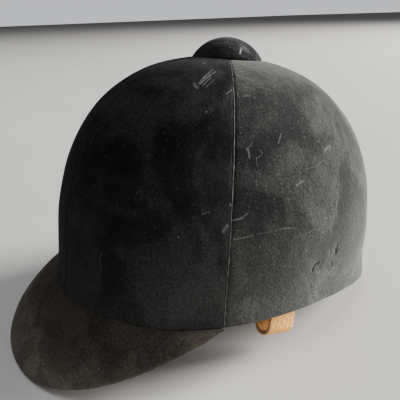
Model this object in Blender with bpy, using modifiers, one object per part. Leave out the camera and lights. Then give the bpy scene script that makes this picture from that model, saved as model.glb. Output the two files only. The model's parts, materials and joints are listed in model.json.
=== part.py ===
"""Velvet riding hat: a hard shell under four velvet gores, a stitched peak, a crown
button, a padded lining with a leather sweatband, and a two-piece leather chin strap
folded up inside.

Metres, +Z up. The hat stands on the front of its peak and the nape of its rim. Its front
faces -Y and the wearer's left is +X. The layers are first worked out in the hat's own
form frame, where the rim lies near height zero and the crown's axis is vertical, and are
then tilted back and set down on the ground plane.
"""

import math

import bmesh
import bpy
import numpy as np
from mathutils import Matrix, Vector

# The hat's form: half width, half lengths, and the crown's height over the rim's datum.
HALF_WIDTH = 0.1017
FRONT_LENGTH = 0.1227
REAR_LENGTH = 0.1232
CROWN_HEIGHT = 0.1571
WALL_TOP = 0.0204
PLAN_POWER_FRONT = 2.09
PLAN_POWER_REAR = 2.26
DOME_POWER_FRONT = 2.46
DOME_POWER_REAR = 2.345
RIM_FLARE = 0.020

# Height of the rim at the front, the temple, the ear and the nape, and where those lie.
RIM_FRONT = 0.0005
RIM_TEMPLE = 0.0021
RIM_EAR = 0.0054
RIM_NAPE = -0.0141
EAR_Y = 0.020
TEMPLE_Y = -0.0588

# The peak, measured from the front of the form and from the temples.
PEAK_REACH = 0.0372
PEAK_DROP = 0.0436
PEAK_POWER = 2.157
PEAK_SAG_POWER = 1.344
PEAK_CROWNING = 0.0016
PEAK_END = math.radians(4)
PEAK_THICKNESS = 0.0050
PEAK_TURN_UNDER = 0.0075

# Thicknesses of the layers, from the velvet inwards, and the gaps that part them.
GAP = 0.0003
LOOSE_GAP = 0.0010
VELVET = 0.0012
SHELL = 0.0025
CORK = 0.0050
LINING = 0.0010
PEAK_VELVET = 0.0010
PEAK_LINING = 0.0008
SWEATBAND = 0.0012
SHELL_DEPTH = VELVET + GAP
SHELL_INNER = SHELL_DEPTH + SHELL
CORK_DEPTH = SHELL_INNER + LOOSE_GAP
LINING_DEPTH = CORK_DEPTH + CORK + GAP
SWEATBAND_DEPTH = LINING_DEPTH + LINING + LOOSE_GAP

# Heights over the rim where the inner layers begin and end.
CORK_START = 0.020
SWEATBAND_START = 0.002
SWEATBAND_BEND = 0.008
SWEATBAND_TOP = 0.034
SWEATBAND_FOOT_DEPTH = 0.74 * SWEATBAND_DEPTH
PAD_START = 0.0095
PAD_TOP = 0.0185
PRESSED_PILE = 0.0013

# The round pad beneath the crown lining, and how far it hangs below the lining.
CROWN_PAD_RADIUS = 0.028
CROWN_PAD_THICKNESS = 0.006
CROWN_PAD_CORNER = 0.0016
CROWN_PAD_DROP = 0.0028

# How finely each gore is divided, and the crown holes as a share of the form's plan.
FRONT_STEPS = 8
REAR_STEPS = 14
DOME_STEPS = 9
CROWN_HOLE = 0.030
CORK_HOLE = 0.090

# The button on the crown and the stud that holds it.
BUTTON_RADIUS = 0.0250
BUTTON_HEIGHT = 0.0133
BUTTON_TURN_UNDER = 0.006
BUTTON_LIFT = 0.0001
STUD_RADIUS = 0.0020
STUD_HEAD_RADIUS = 0.0035
STUD_HEAD_HEIGHT = 0.0012
WASHER_RADIUS = 0.0070
WASHER_THICKNESS = 0.0010

# The chin strap: its size, the fold at the rim and how it lies against the wall.
STRAP_WIDTH = 0.020
STRAP_THICKNESS = 0.0022
FOLD_RADIUS = 0.0069
FOLD_Y = -0.0163
FOLD_DEPTH = 0.0199
FOLD_HEIGHT = -0.0080
STRAP_YAW = math.radians(6)
STRAP_RAKE = math.radians(14)
STRAP_LEAN = math.radians(9)
TAB_LENGTH = 0.0290
TAB_LEAN = math.radians(6)
TAB_END = math.radians(145)
BILLET_LENGTH = 0.125
BILLET_BEND_RADIUS = 0.300
BILLET_HOLES = 5
BILLET_HOLE_RADIUS = 0.0020
BILLET_HOLE_PITCH = 0.015
BILLET_FIRST_HOLE = 0.024
BILLET_TIP_START = 0.90
BILLET_TIP_TAPER = 0.93
BUCKLE_STRAP_LENGTH = 0.078
LAP_START = 0.008
LAP_END = 0.018
CUTTER_LENGTH = 0.012

# Rivets that hold the strap's tabs to the shell.
RIVET_HEIGHT = 0.0230
RIVET_REACH = 0.0046
RIVET_RADIUS = 0.0020
RIVET_HEAD_RADIUS = 0.0045
RIVET_HEAD_HEIGHT = 0.0011
RIVET_HEAD_CROWN = 0.7 * RIVET_HEAD_RADIUS
RIVET_WASHER_RADIUS = 0.0058
RIVET_WASHER_THICKNESS = 0.0006

# The buckle and the keeper loop on the right strap.
WIRE_RADIUS = 0.0012
PRONG_RADIUS = 0.0008
BUCKLE_REACH = 0.016
BUCKLE_CORNER = 0.004
BUCKLE_SIDE = STRAP_WIDTH / 2 + GAP + 0.0001 + WIRE_RADIUS
PRONG_REACH = BUCKLE_REACH + 0.003
SLOT_HALF_WIDTH = 0.0014
SLOT_BELOW_BAR = 0.009
SLOT_ABOVE_BAR = 0.005
KEEPER_WIDTH = 0.008
KEEPER_THICKNESS = 0.0014
KEEPER_PLACE = 0.040
KEEPER_PLAY = 0.0004

TURN_STEPS = 20
BUTTON_STEPS = 7
CURVE_RESOLUTION = 2


# ---------------------------------------------------------------- form of the hat


def plan(angle):
    """Plan outline at an angle: a superellipse whose power differs front and rear."""
    rear = np.sin(angle) > 0
    power = np.where(rear, PLAN_POWER_REAR, PLAN_POWER_FRONT)
    length = np.where(rear, REAR_LENGTH, FRONT_LENGTH)
    cos, sin = np.cos(angle), np.sin(angle)
    x = HALF_WIDTH * np.sign(cos) * np.abs(cos) ** (2 / power)
    y = length * np.sign(sin) * np.abs(sin) ** (2 / power)
    return x, y


def rim_height(y):
    """Height of the rim along the hat: the cubic through its four known heights."""
    places = [-FRONT_LENGTH, TEMPLE_Y, EAR_Y, REAR_LENGTH]
    heights = [RIM_FRONT, RIM_TEMPLE, RIM_EAR, RIM_NAPE]
    return np.polyval(np.polyfit(places, heights, 3), y)


def dome_power(angle):
    """Power of the dome's superellipse, turning smoothly from front to rear."""
    rearward = 0.5 + 0.5 * np.sin(angle)
    return DOME_POWER_FRONT + (DOME_POWER_REAR - DOME_POWER_FRONT) * rearward


def wall_scale(height):
    """How far the wall flares out below the top of its straight part."""
    down = np.clip((WALL_TOP - height) / WALL_TOP, 0.0, 1.0)
    return 1.0 + RIM_FLARE * down * down * (2.0 - down)


def form_points(angles, heights):
    """Outer surface at plan angles and a grid of heights: flared wall, then dome."""
    x, y = plan(angles)
    power = dome_power(angles)[:, None]
    rise = np.clip((heights - WALL_TOP) / (CROWN_HEIGHT - WALL_TOP), 0.0, 1.0)
    scale = wall_scale(heights) * (1 - rise**power) ** (1 / power)
    return np.dstack([x[:, None] * scale, y[:, None] * scale, heights])


def form_grid(angles, start, wall_steps, hole):
    """Outer surface over plan angles, from a height over the rim up to the crown hole.

    The dome's rows follow a superellipse up to the cork's hole, with one more row for a
    smaller hole. With wall steps, rows rise evenly to the foot of the dome; with none,
    the dome's rows are drawn together to begin at the starting height.
    """
    power = dome_power(angles)[:, None]
    turns = np.arccos(CORK_HOLE ** (power / 2)) * np.linspace(0.0, 1.0, DOME_STEPS + 1)
    if hole < CORK_HOLE:
        turns = np.hstack([turns, np.arccos(hole ** (power / 2))])
    dome = WALL_TOP + (CROWN_HEIGHT - WALL_TOP) * np.sin(turns) ** (2 / power)
    foot = (rim_height(plan(angles)[1]) + start)[:, None]
    if wall_steps:
        wall = foot + (WALL_TOP - foot) * np.linspace(0.0, 1.0, wall_steps + 1)
        heights = np.hstack([wall, dome[:, 1:]])
    else:
        heights = foot + (dome - WALL_TOP) * (CROWN_HEIGHT - foot) / (CROWN_HEIGHT - WALL_TOP)
    return form_points(angles, heights)


def wall_grid(angles, heights):
    """Outer surface over plan angles at several heights over the rim."""
    return form_points(angles, rim_height(plan(angles)[1])[:, None] + np.asarray(heights))


def unit(vectors):
    """Vectors of length one."""
    return vectors / np.linalg.norm(vectors, axis=-1, keepdims=True)


def grid_normals(points, closed):
    """Outward normals of a grid: its first direction crossed with its second."""
    if closed:
        along = np.roll(points, -1, 0) - np.roll(points, 1, 0)
    else:
        along = np.gradient(points, axis=0)
    return unit(np.cross(along, np.gradient(points, axis=1)))


def inset(points, depth, closed):
    """The same grid moved inwards along its normals."""
    return points - grid_normals(points, closed) * depth


def whole_ring(front_steps, rear_steps):
    """Plan angles all the way round, from the front, with one on every seam."""
    marks = [-math.pi / 2, -SEAM_ANGLE, math.pi / 2, math.pi + SEAM_ANGLE, 1.5 * math.pi]
    steps = [front_steps, rear_steps, rear_steps, front_steps]
    spans = [np.linspace(a, b, n + 1)[:-1] for a, b, n in zip(marks, marks[1:], steps)]
    return np.concatenate(spans)


def seam_angle():
    """Plan angle of the side seam, which meets the rim at the temple."""
    return math.asin((-TEMPLE_Y / FRONT_LENGTH) ** (PLAN_POWER_FRONT / 2))


SEAM_ANGLE = seam_angle()


# ---------------------------------------------------------------- form of the peak


def peak_edges(turns):
    """Inner and outer edge of the peak's top, turning from the left temple to the right.

    The outer edge is a superellipse in plan that sinks with its way forward. The inner
    edge runs round the foot of the wall.
    """
    forward = np.abs(np.sin(turns)) ** (2 / PEAK_POWER)
    temple_x = plan(np.array([-SEAM_ANGLE]))[0][0] * (1 + RIM_FLARE)
    across = np.sign(np.cos(turns)) * np.abs(np.cos(turns)) ** (2 / PEAK_POWER)
    reach = FRONT_LENGTH + PEAK_REACH + TEMPLE_Y
    drop = PEAK_DROP * forward**PEAK_SAG_POWER
    outer = np.stack([temple_x * across, TEMPLE_Y - reach * forward, RIM_TEMPLE - drop], -1)
    angles = -SEAM_ANGLE - (math.pi - 2 * SEAM_ANGLE) * turns / math.pi
    inner = wall_grid(angles, [0.0])[:, 0]
    inner[:, 2] -= GAP
    return inner, outer


def peak_frame(turns):
    """Edges, outward and upward directions, edge radius and width of the peak."""
    inner, outer = peak_edges(turns)
    out = unit(outer - inner)
    along = unit(np.gradient(outer, axis=0))
    up = unit(np.cross(along, out))
    width = np.linalg.norm(outer - inner, axis=-1)
    radius = np.clip(0.3 * width, 1.15 * PEAK_VELVET, PEAK_THICKNESS / 2)
    return inner, outer, out, up, width, radius


def peak_top(frame, shares, short):
    """Rows of the peak's top surface at shares of its width, stopping short of its edge."""
    inner, outer, out, up, width, _ = frame
    rows = []
    for share in shares:
        crowning = PEAK_CROWNING * 4 * share * (1 - share) * np.minimum(1.0, width / 0.03)
        place = inner + out * ((width - short) * share)[:, None]
        rows.append(place + up * crowning[:, None])
    return rows


def peak_cover_grid():
    """Velvet of the peak: its top, its rounded edge and the turn beneath."""
    turns = np.linspace(PEAK_END, math.pi - PEAK_END, 29)
    frame = peak_frame(turns)
    _, outer, out, up, width, radius = frame
    rows = peak_top(frame, np.linspace(0.0, 1.0, 5), radius)
    centre = outer - (out + up) * radius[:, None]
    for step in range(1, 5):
        turn = math.pi / 2 - step * math.pi / 4
        rows.append(centre + (out * math.cos(turn) + up * math.sin(turn)) * radius[:, None])
    under = np.minimum(PEAK_TURN_UNDER, 0.8 * width - radius)
    rows.append(centre - up * radius[:, None] - out * under[:, None])
    return np.stack(rows, 1)


def mitred_inset(points, depth):
    """Open grid sunk by a depth measured square to each strip between its rows."""
    along = np.gradient(points, axis=0)
    strips = points[:, 1:] - points[:, :-1]
    normals = unit(np.cross(along[:, 1:] + along[:, :-1], strips))
    before = np.concatenate([normals[:, :1], normals], axis=1)
    after = np.concatenate([normals, normals[:, -1:]], axis=1)
    middle = unit(before + after)
    square = np.sum(middle * before, axis=-1, keepdims=True)
    return points - middle * depth / square


def peak_sheet_grid(first_turn, steps, depth, edge):
    """Flat layer of the peak at a depth, from inside the wall to short of the edge."""
    turns = np.linspace(first_turn, math.pi - first_turn, steps + 1)
    frame = peak_frame(turns)
    rows = peak_top(frame, np.linspace(0.0, 1.0, 4), edge)
    heel = frame[0] - unit(frame[0] * np.array([1.0, 1.0, 0.0])) * SHELL_INNER
    return mitred_inset(np.stack([heel] + rows, 1), depth)


# ---------------------------------------------------------------- standing on the ground


def turned_back(points, tilt):
    """Points of the form frame tilted back about the width of the hat."""
    cos, sin = math.cos(tilt), math.sin(tilt)
    x, y, z = points[..., 0], points[..., 1], points[..., 2]
    return np.stack([x, y * cos + z * sin, z * cos - y * sin], -1)


def standing_matrix():
    """Pose of the form frame when the peak and the nape both touch the ground."""
    peak = peak_cover_grid().reshape(-1, 3)
    ring = whole_ring(FRONT_STEPS, REAR_STEPS)
    body = form_grid(ring, 0.0, 3, CROWN_HOLE).reshape(-1, 3)
    tilt = 0.0
    for _ in range(6):
        toe = peak[np.argmin(turned_back(peak, tilt)[:, 2])]
        heel = body[np.argmin(turned_back(body, tilt)[:, 2] - body[:, 1] * 1e-6)]
        tilt = math.atan2(heel[2] - toe[2], heel[1] - toe[1])
    placed = turned_back(np.vstack([peak, body]), tilt)
    low, high = placed.min(0), placed.max(0)
    shift = Vector((0.0, -(low[1] + high[1]) / 2, -low[2]))
    return Matrix.Translation(shift) @ Matrix.Rotation(-tilt, 4, "X")


STANDING = standing_matrix()


def stand(points):
    """Points of the form frame as they lie on the standing hat."""
    flat = np.asarray(points, float).reshape(-1, 3)
    rotation = np.array(STANDING.to_3x3())
    placed = flat @ rotation.T + np.array(STANDING.translation)
    return placed.reshape(np.shape(points))


def pressed(points):
    """Pile that lies within a hair of the ground is pressed flat onto it."""
    points = points.copy()
    points[..., 2] = np.where(points[..., 2] < PRESSED_PILE, 0.0, points[..., 2])
    return points


# ---------------------------------------------------------------- objects


def clear_scene():
    """Remove every object and collection of the scene."""
    for item in list(bpy.data.objects):
        bpy.data.objects.remove(item, do_unlink=True)
    for group in list(bpy.data.collections):
        bpy.data.collections.remove(group)


def make_collection(name):
    """New collection in the scene."""
    group = bpy.data.collections.new(name)
    bpy.context.scene.collection.children.link(group)
    return group


def make_material(name, colour, roughness, metallic=0.0):
    """Principled material of one colour."""
    material = bpy.data.materials.new(name)
    material.use_nodes = True
    shader = material.node_tree.nodes["Principled BSDF"]
    shader.inputs["Base Color"].default_value = (*colour, 1.0)
    shader.inputs["Roughness"].default_value = roughness
    shader.inputs["Metallic"].default_value = metallic
    material.diffuse_color = (*colour, 1.0)
    return material


def add_object(name, data, material, group, parent=None):
    """Put a mesh or curve in a collection, with its material and its parent."""
    item = bpy.data.objects.new(name, data)
    if material:
        data.materials.append(material)
    group.objects.link(item)
    if parent:
        item.parent = parent
    return item


def sheet(name, points, thickness, material, group, closed=False, centred=False, parent=None):
    """Open surface over a grid of points with a Solidify wall behind it."""
    columns, rows = points.shape[:2]
    last = columns if closed else columns - 1
    faces = []
    for i in range(last):
        a, b = i * rows, ((i + 1) % columns) * rows
        faces += [(a + j, b + j, b + j + 1, a + j + 1) for j in range(rows - 1)]
    mesh = bpy.data.meshes.new(name)
    mesh.from_pydata(points.reshape(-1, 3).tolist(), [], faces)
    mesh.shade_smooth()
    mesh.set_sharp_from_angle(angle=math.radians(40))
    item = add_object(name, mesh, material, group, parent)
    wall = item.modifiers.new("wall", "SOLIDIFY")
    wall.thickness = thickness
    wall.offset = 0.0 if centred else -1.0
    wall.use_even_offset = True
    return item


def turned(name, profile, material, group, parent=None, steps=TURN_STEPS, loop=False):
    """Turned piece: a profile of radius and height carried round Z by a Screw."""
    mesh = bpy.data.meshes.new(name)
    edges = [(i, i + 1) for i in range(len(profile) - 1)]
    if loop:
        edges.append((len(profile) - 1, 0))
    mesh.from_pydata([(r, 0.0, z) for r, z in profile], edges, [])
    item = add_object(name, mesh, material, group, parent)
    screw = item.modifiers.new("turn", "SCREW")
    screw.steps = steps
    screw.render_steps = steps
    screw.use_merge_vertices = True
    screw.merge_threshold = 0.00001
    screw.use_smooth_shade = True
    return item


def wire(name, points, radius, material, group, parent=None):
    """Round wire along points, with closed ends."""
    curve = bpy.data.curves.new(name, "CURVE")
    curve.dimensions = "3D"
    curve.bevel_depth = radius
    curve.bevel_resolution = CURVE_RESOLUTION
    curve.use_fill_caps = True
    spline = curve.splines.new("POLY")
    spline.points.add(len(points) - 1)
    for point, place in zip(spline.points, points):
        point.co = (*place, 1.0)
    return add_object(name, curve, material, group, parent)


def cylinder_cutter(name, radius, length, place, group, parent):
    """Round cutter along the X axis of its parent."""
    mesh = bpy.data.meshes.new(name)
    shape = bmesh.new()
    bmesh.ops.create_cone(
        shape, cap_ends=True, segments=12, radius1=radius, radius2=radius, depth=length
    )
    bmesh.ops.rotate(shape, verts=shape.verts, matrix=Matrix.Rotation(math.pi / 2, 3, "Y"))
    shape.to_mesh(mesh)
    shape.free()
    item = add_object(name, mesh, None, group, parent)
    item.location = place
    hide_cutter(item)
    return item


def box_cutter(name, low, high, group, parent):
    """Box cutter between two corners in its parent's frame."""
    mesh = bpy.data.meshes.new(name)
    shape = bmesh.new()
    bmesh.ops.create_cube(shape, size=1.0)
    size = Vector(high) - Vector(low)
    bmesh.ops.scale(shape, verts=shape.verts, vec=size)
    bmesh.ops.translate(shape, verts=shape.verts, vec=(Vector(low) + Vector(high)) / 2)
    shape.to_mesh(mesh)
    shape.free()
    item = add_object(name, mesh, None, group, parent)
    hide_cutter(item)
    return item


def hide_cutter(item):
    """Show a cutter as wires only, and leave it out of renders."""
    item.hide_render = True
    item.display_type = "WIRE"


def cut(item, cutter):
    """Boolean difference of one cutter."""
    boolean = item.modifiers.new("cut " + cutter.name, "BOOLEAN")
    boolean.operation = "DIFFERENCE"
    boolean.solver = "EXACT"
    boolean.object = cutter


def make_empty(name, matrix, group, parent=None):
    """Empty that marks a joint or a local frame."""
    item = bpy.data.objects.new(name, None)
    item.empty_display_size = 0.01
    group.objects.link(item)
    if parent:
        item.parent = parent
    item.matrix_world = matrix
    return item


# ---------------------------------------------------------------- velvet and shell


def make_gore(name, first, last, steps, material, group):
    """One velvet gore: hem beneath the rim, wall and dome up to the button."""
    half_seam = GAP / 2 / HALF_WIDTH
    angles = np.linspace(first + half_seam, last - half_seam, steps + 1)
    face = form_grid(angles, 0.0, 2, CROWN_HOLE)
    edge = face[:, 0].copy()
    outward = unit(edge * np.array([1.0, 1.0, 0.0]))
    hem = edge - outward * SHELL_INNER
    points = np.concatenate([hem[:, None], face], axis=1)
    return sheet(name, pressed(stand(points)), VELVET, material, group)


def make_gores(material, group):
    """The four gores, parted at the front, the back and both temples."""
    front, back = -math.pi / 2, math.pi / 2
    make_gore("velvet_front_left", front, -SEAM_ANGLE, FRONT_STEPS, material, group)
    make_gore("velvet_rear_left", -SEAM_ANGLE, back, REAR_STEPS, material, group)
    make_gore("velvet_rear_right", back, math.pi + SEAM_ANGLE, REAR_STEPS, material, group)
    make_gore("velvet_front_right", math.pi + SEAM_ANGLE, 1.5 * math.pi, FRONT_STEPS, material, group)


def make_shell(material, group):
    """Hard shell beneath the velvet, standing on its turned hem."""
    ring = whole_ring(FRONT_STEPS, REAR_STEPS)
    face = form_grid(ring, VELVET + 3 * GAP, 2, CROWN_HOLE)
    return sheet("shell", stand(inset(face, SHELL_DEPTH, True)), SHELL, material, group, closed=True)


# ---------------------------------------------------------------- inside of the crown


def make_liner(name, depth, thickness, hole, material, group):
    """Layer inside the shell from above the sweatband's seam to the crown."""
    ring = whole_ring(FRONT_STEPS // 2, REAR_STEPS // 2)
    face = form_grid(ring, CORK_START, 0, hole)
    points = stand(inset(face, depth, True))
    return sheet(name, points, thickness, material, group, closed=True)


def make_sweatband(material, group):
    """Leather sweatband: sewn in at the rim, then standing up inside the lining."""
    ring = whole_ring(FRONT_STEPS // 2, REAR_STEPS // 2)
    face = wall_grid(ring, [SWEATBAND_START, SWEATBAND_BEND, SWEATBAND_TOP / 2, SWEATBAND_TOP])
    normals = grid_normals(face, True)
    depths = np.array([SWEATBAND_FOOT_DEPTH] + [SWEATBAND_DEPTH] * 3)
    points = face - normals * depths[None, :, None]
    return sheet("sweatband", stand(points), SWEATBAND, material, group, closed=True)


def make_band_pad(name, angles, material, group):
    """Foam strip between the shell and the sweatband over part of the way round."""
    face = wall_grid(angles, [PAD_START, PAD_TOP])
    points = stand(inset(face, CORK_DEPTH, False))
    thickness = SWEATBAND_DEPTH - CORK_DEPTH - GAP
    return sheet(name, points, thickness, material, group)


def make_crown_pad(material, group):
    """Round comfort pad beneath the middle of the lining."""
    radius, thickness, corner = CROWN_PAD_RADIUS, CROWN_PAD_THICKNESS, CROWN_PAD_CORNER
    top = CROWN_HEIGHT - LINING_DEPTH - LINING - CROWN_PAD_DROP
    profile = [
        (0.0, top),
        (radius - corner, top - corner / 2),
        (radius, top - corner * 1.5),
        (radius, top - thickness + corner),
        (radius - corner, top - thickness),
        (0.0, top - thickness),
    ]
    pad = turned("crown_pad", profile, material, group)
    pad.matrix_world = STANDING
    return pad


# ---------------------------------------------------------------- button


def crown_drop(radius):
    """How far the crown has fallen at a radius, along the hat's length."""
    share, power = radius / FRONT_LENGTH, DOME_POWER_FRONT
    return (CROWN_HEIGHT - WALL_TOP) * (1 - (1 - share**power) ** (1 / power))


def button_profile(depth, steps):
    """Half outline of a spherical cap set at a depth inside the button, from top to foot.

    An inner cap stops at twice its depth over the button's edge.
    """
    foot = CROWN_HEIGHT - crown_drop(BUTTON_RADIUS) + GAP
    rise = CROWN_HEIGHT + BUTTON_HEIGHT - foot
    sphere = (BUTTON_RADIUS**2 + rise**2) / (2 * rise)
    centre = foot + rise - sphere
    radius = sphere - depth
    spread = math.acos((foot + 2 * depth - centre) / radius)
    turns = [spread * i / steps for i in range(steps + 1)]
    return [(radius * math.sin(t), centre + radius * math.cos(t)) for t in turns]


def make_button(velvet, wood, brass, group):
    """Velvet-covered button, its former, and the stud and washer that hold it."""
    outline = button_profile(0.0, BUTTON_STEPS)
    edge_radius, edge_height = outline[-1]
    inner = edge_radius - BUTTON_TURN_UNDER
    turn = (inner, CROWN_HEIGHT - crown_drop(inner) + GAP + BUTTON_LIFT)
    cover = turned("button_cover", outline + [turn], velvet, group, steps=24)
    wall = cover.modifiers.new("wall", "SOLIDIFY")
    wall.thickness = PEAK_VELVET
    wall.offset = -1.0
    wall.use_even_offset = True
    cover.matrix_world = STANDING

    core = button_profile(PEAK_VELVET + 2 * GAP, BUTTON_STEPS)
    core_foot = core[-1][1]
    former = turned("button_former", core + [(0.0, core_foot)], wood, group, steps=24)
    former.matrix_world = STANDING

    seat = CROWN_HEIGHT - SHELL_INNER - GAP
    under = seat - WASHER_THICKNESS - GAP
    stud = turned(
        "button_stud",
        [
            (0.0, core_foot - GAP),
            (STUD_RADIUS, core_foot - GAP),
            (STUD_RADIUS, under),
            (STUD_HEAD_RADIUS, under),
            (STUD_HEAD_RADIUS, under - STUD_HEAD_HEIGHT),
            (0.0, under - STUD_HEAD_HEIGHT),
        ],
        brass,
        group,
        steps=12,
    )
    stud.matrix_world = STANDING
    washer = turned(
        "stud_washer",
        [
            (WASHER_RADIUS, seat),
            (WASHER_RADIUS, seat - WASHER_THICKNESS),
            (STUD_RADIUS + GAP, seat - WASHER_THICKNESS),
            (STUD_RADIUS + GAP, seat),
        ],
        brass,
        group,
        steps=16,
        loop=True,
    )
    washer.matrix_world = STANDING


# ---------------------------------------------------------------- peak


def make_peak(velvet, board, lining, group):
    """Peak: stiff board, velvet over its top and edge, and a lining beneath."""
    sheet("peak_cover", pressed(stand(peak_cover_grid())), PEAK_VELVET, velvet, group)
    depth = PEAK_VELVET + GAP
    core = PEAK_THICKNESS - 2 * depth
    grid = peak_sheet_grid(math.radians(14), 24, depth, depth + 4 * GAP)
    sheet("peak_board", stand(grid), core, board, group)
    under = depth + core + 2 * GAP
    edge = PEAK_THICKNESS / 2 + PEAK_TURN_UNDER + 2 * GAP
    grid = peak_sheet_grid(math.radians(33), 18, under, edge)
    sheet("peak_lining", stand(grid), PEAK_LINING, lining, group)


# ---------------------------------------------------------------- chin strap


def strap_matrix(side):
    """Frame of one strap at its fold: X outwards, Y along the fold, Z up the strap."""
    angle = -math.asin((-FOLD_Y / FRONT_LENGTH) ** (PLAN_POWER_FRONT / 2))
    wall = wall_grid(np.array([angle]), [0.0])[0, 0]
    outward = Vector((side * math.cos(STRAP_YAW), -math.sin(STRAP_YAW), 0.0))
    place = Vector(stand(np.array([side * wall[0], wall[1], FOLD_HEIGHT])))
    place -= outward * FOLD_DEPTH
    level = Vector((0.0, 0.0, 1.0)).cross(outward)
    fold = level * math.cos(STRAP_RAKE) - Vector((0.0, 0.0, side * math.sin(STRAP_RAKE)))
    up = outward.cross(fold)
    matrix = Matrix((outward, fold, up)).transposed().to_4x4()
    matrix.translation = place
    return matrix


def ribbon(name, path, widths, material, group, parent):
    """Flat strap along a path in its parent's X and Z, with a width at each point."""
    path = np.asarray(path, float)
    half = np.asarray(widths, float) * 0.5 * np.ones(len(path))
    left = np.stack([path[:, 0], -half, path[:, 1]], -1)
    right = np.stack([path[:, 0], half, path[:, 1]], -1)
    points = np.stack([left, right], 1)
    return sheet(name, points, STRAP_THICKNESS, material, group, centred=True, parent=parent)


def tab_path():
    """Tab riveted inside the rim: down the wall, then round the fold."""
    top = (2 * FOLD_RADIUS - math.sin(TAB_LEAN) * TAB_LENGTH, math.cos(TAB_LEAN) * TAB_LENGTH)
    turns = np.linspace(0.0, -TAB_END, 9)
    bend = [(FOLD_RADIUS * (1 + math.cos(t)), FOLD_RADIUS * math.sin(t)) for t in turns]
    middle = ((top[0] + bend[0][0]) / 2, top[1] / 2)
    return [top, middle] + bend


def billet_path():
    """Left strap: up from the fold, leaning in and bending over with the crown."""
    lengths = np.linspace(0.0, BILLET_LENGTH, 12)
    lean = STRAP_LEAN + lengths / BILLET_BEND_RADIUS
    x = BILLET_BEND_RADIUS * (np.cos(lean) - math.cos(STRAP_LEAN))
    z = BILLET_BEND_RADIUS * (np.sin(lean) - math.sin(STRAP_LEAN))
    return np.stack([x, z], -1)


def along_strap(length, inward):
    """Place beside the right strap: a length up it and a distance towards the inside."""
    cos, sin = math.cos(STRAP_LEAN), math.sin(STRAP_LEAN)
    return (-sin * length - cos * inward, cos * length - sin * inward)


def buckle_strap_path():
    """Right strap: up from the fold, round the buckle's bar and back down itself."""
    wrap = WIRE_RADIUS + GAP + STRAP_THICKNESS / 2
    length = BUCKLE_STRAP_LENGTH
    closed_up = STRAP_THICKNESS + 2 * GAP
    path = [along_strap(length * share, 0.0) for share in (0.0, 0.25, 0.5, 0.75, 0.95)]
    for turn in np.linspace(-math.pi / 2, math.pi / 2, 9):
        path.append(along_strap(length + wrap * math.cos(turn), wrap * (1 + math.sin(turn))))
    path.append(along_strap(length - LAP_START, closed_up))
    path.append(along_strap(length - LAP_END, closed_up))
    return path


def make_tab(side_name, matrix, leather, brass, shell, cutters, group):
    """Fixed end of one strap, its rivet and the rivet's washer, through the shell."""
    frame = make_empty(side_name + "_tab_frame", matrix, group)
    tab = ribbon(side_name + "_strap_tab", tab_path(), STRAP_WIDTH, leather, group, frame)
    lean = -math.sin(TAB_LEAN) * RIVET_HEIGHT
    place = Vector((2 * FOLD_RADIUS + lean, 0.0, RIVET_HEIGHT))
    turn = Matrix.Rotation(math.pi / 2 - TAB_LEAN, 4, "Y")
    axis = make_empty(
        side_name + "_rivet_axis", matrix @ Matrix.Translation(place) @ turn, group, frame
    )
    face = -STRAP_THICKNESS / 2
    washer_face = face - GAP - RIVET_WASHER_THICKNESS
    head_face = washer_face - GAP
    turned(
        side_name + "_rivet",
        [
            (0.0, RIVET_REACH),
            (RIVET_RADIUS, RIVET_REACH),
            (RIVET_RADIUS, head_face),
            (RIVET_HEAD_RADIUS, head_face),
            (RIVET_HEAD_CROWN, head_face - RIVET_HEAD_HEIGHT),
            (0.0, head_face - RIVET_HEAD_HEIGHT),
        ],
        brass,
        group,
        axis,
        steps=12,
    )
    turned(
        side_name + "_rivet_washer",
        [
            (RIVET_WASHER_RADIUS, face - GAP),
            (RIVET_WASHER_RADIUS, washer_face),
            (RIVET_RADIUS + GAP, washer_face),
            (RIVET_RADIUS + GAP, face - GAP),
        ],
        brass,
        group,
        axis,
        steps=12,
        loop=True,
    )
    cutter = cylinder_cutter(
        side_name + "_rivet_hole", RIVET_RADIUS + GAP, CUTTER_LENGTH, (0.0, 0.0, 0.0), cutters, axis
    )
    cutter.rotation_euler = (0.0, math.pi / 2, 0.0)
    cut(tab, cutter)
    cut(shell, cutter)


def make_billet(matrix, leather, cutters, group):
    """Left strap with its row of buckle holes and rounded tip, hung on its fold."""
    fold = make_empty("left_strap_joint", matrix, group)
    path = billet_path()
    run = np.linspace(0.0, 1.0, len(path))
    tip = np.clip((run - BILLET_TIP_START) / (1 - BILLET_TIP_START), 0.0, 1.0)
    widths = STRAP_WIDTH * np.sqrt(1 - (BILLET_TIP_TAPER * tip) ** 2)
    strap = ribbon("left_strap", path, widths, leather, group, fold)
    for number in range(BILLET_HOLES):
        length = BILLET_LENGTH - BILLET_FIRST_HOLE - number * BILLET_HOLE_PITCH
        place = [np.interp(length, run * BILLET_LENGTH, path[:, axis]) for axis in (0, 1)]
        name = "billet_hole_%d" % (number + 1)
        cutter = cylinder_cutter(
            name, BILLET_HOLE_RADIUS, CUTTER_LENGTH, (place[0], 0.0, place[1]), cutters, fold
        )
        cut(strap, cutter)


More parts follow.
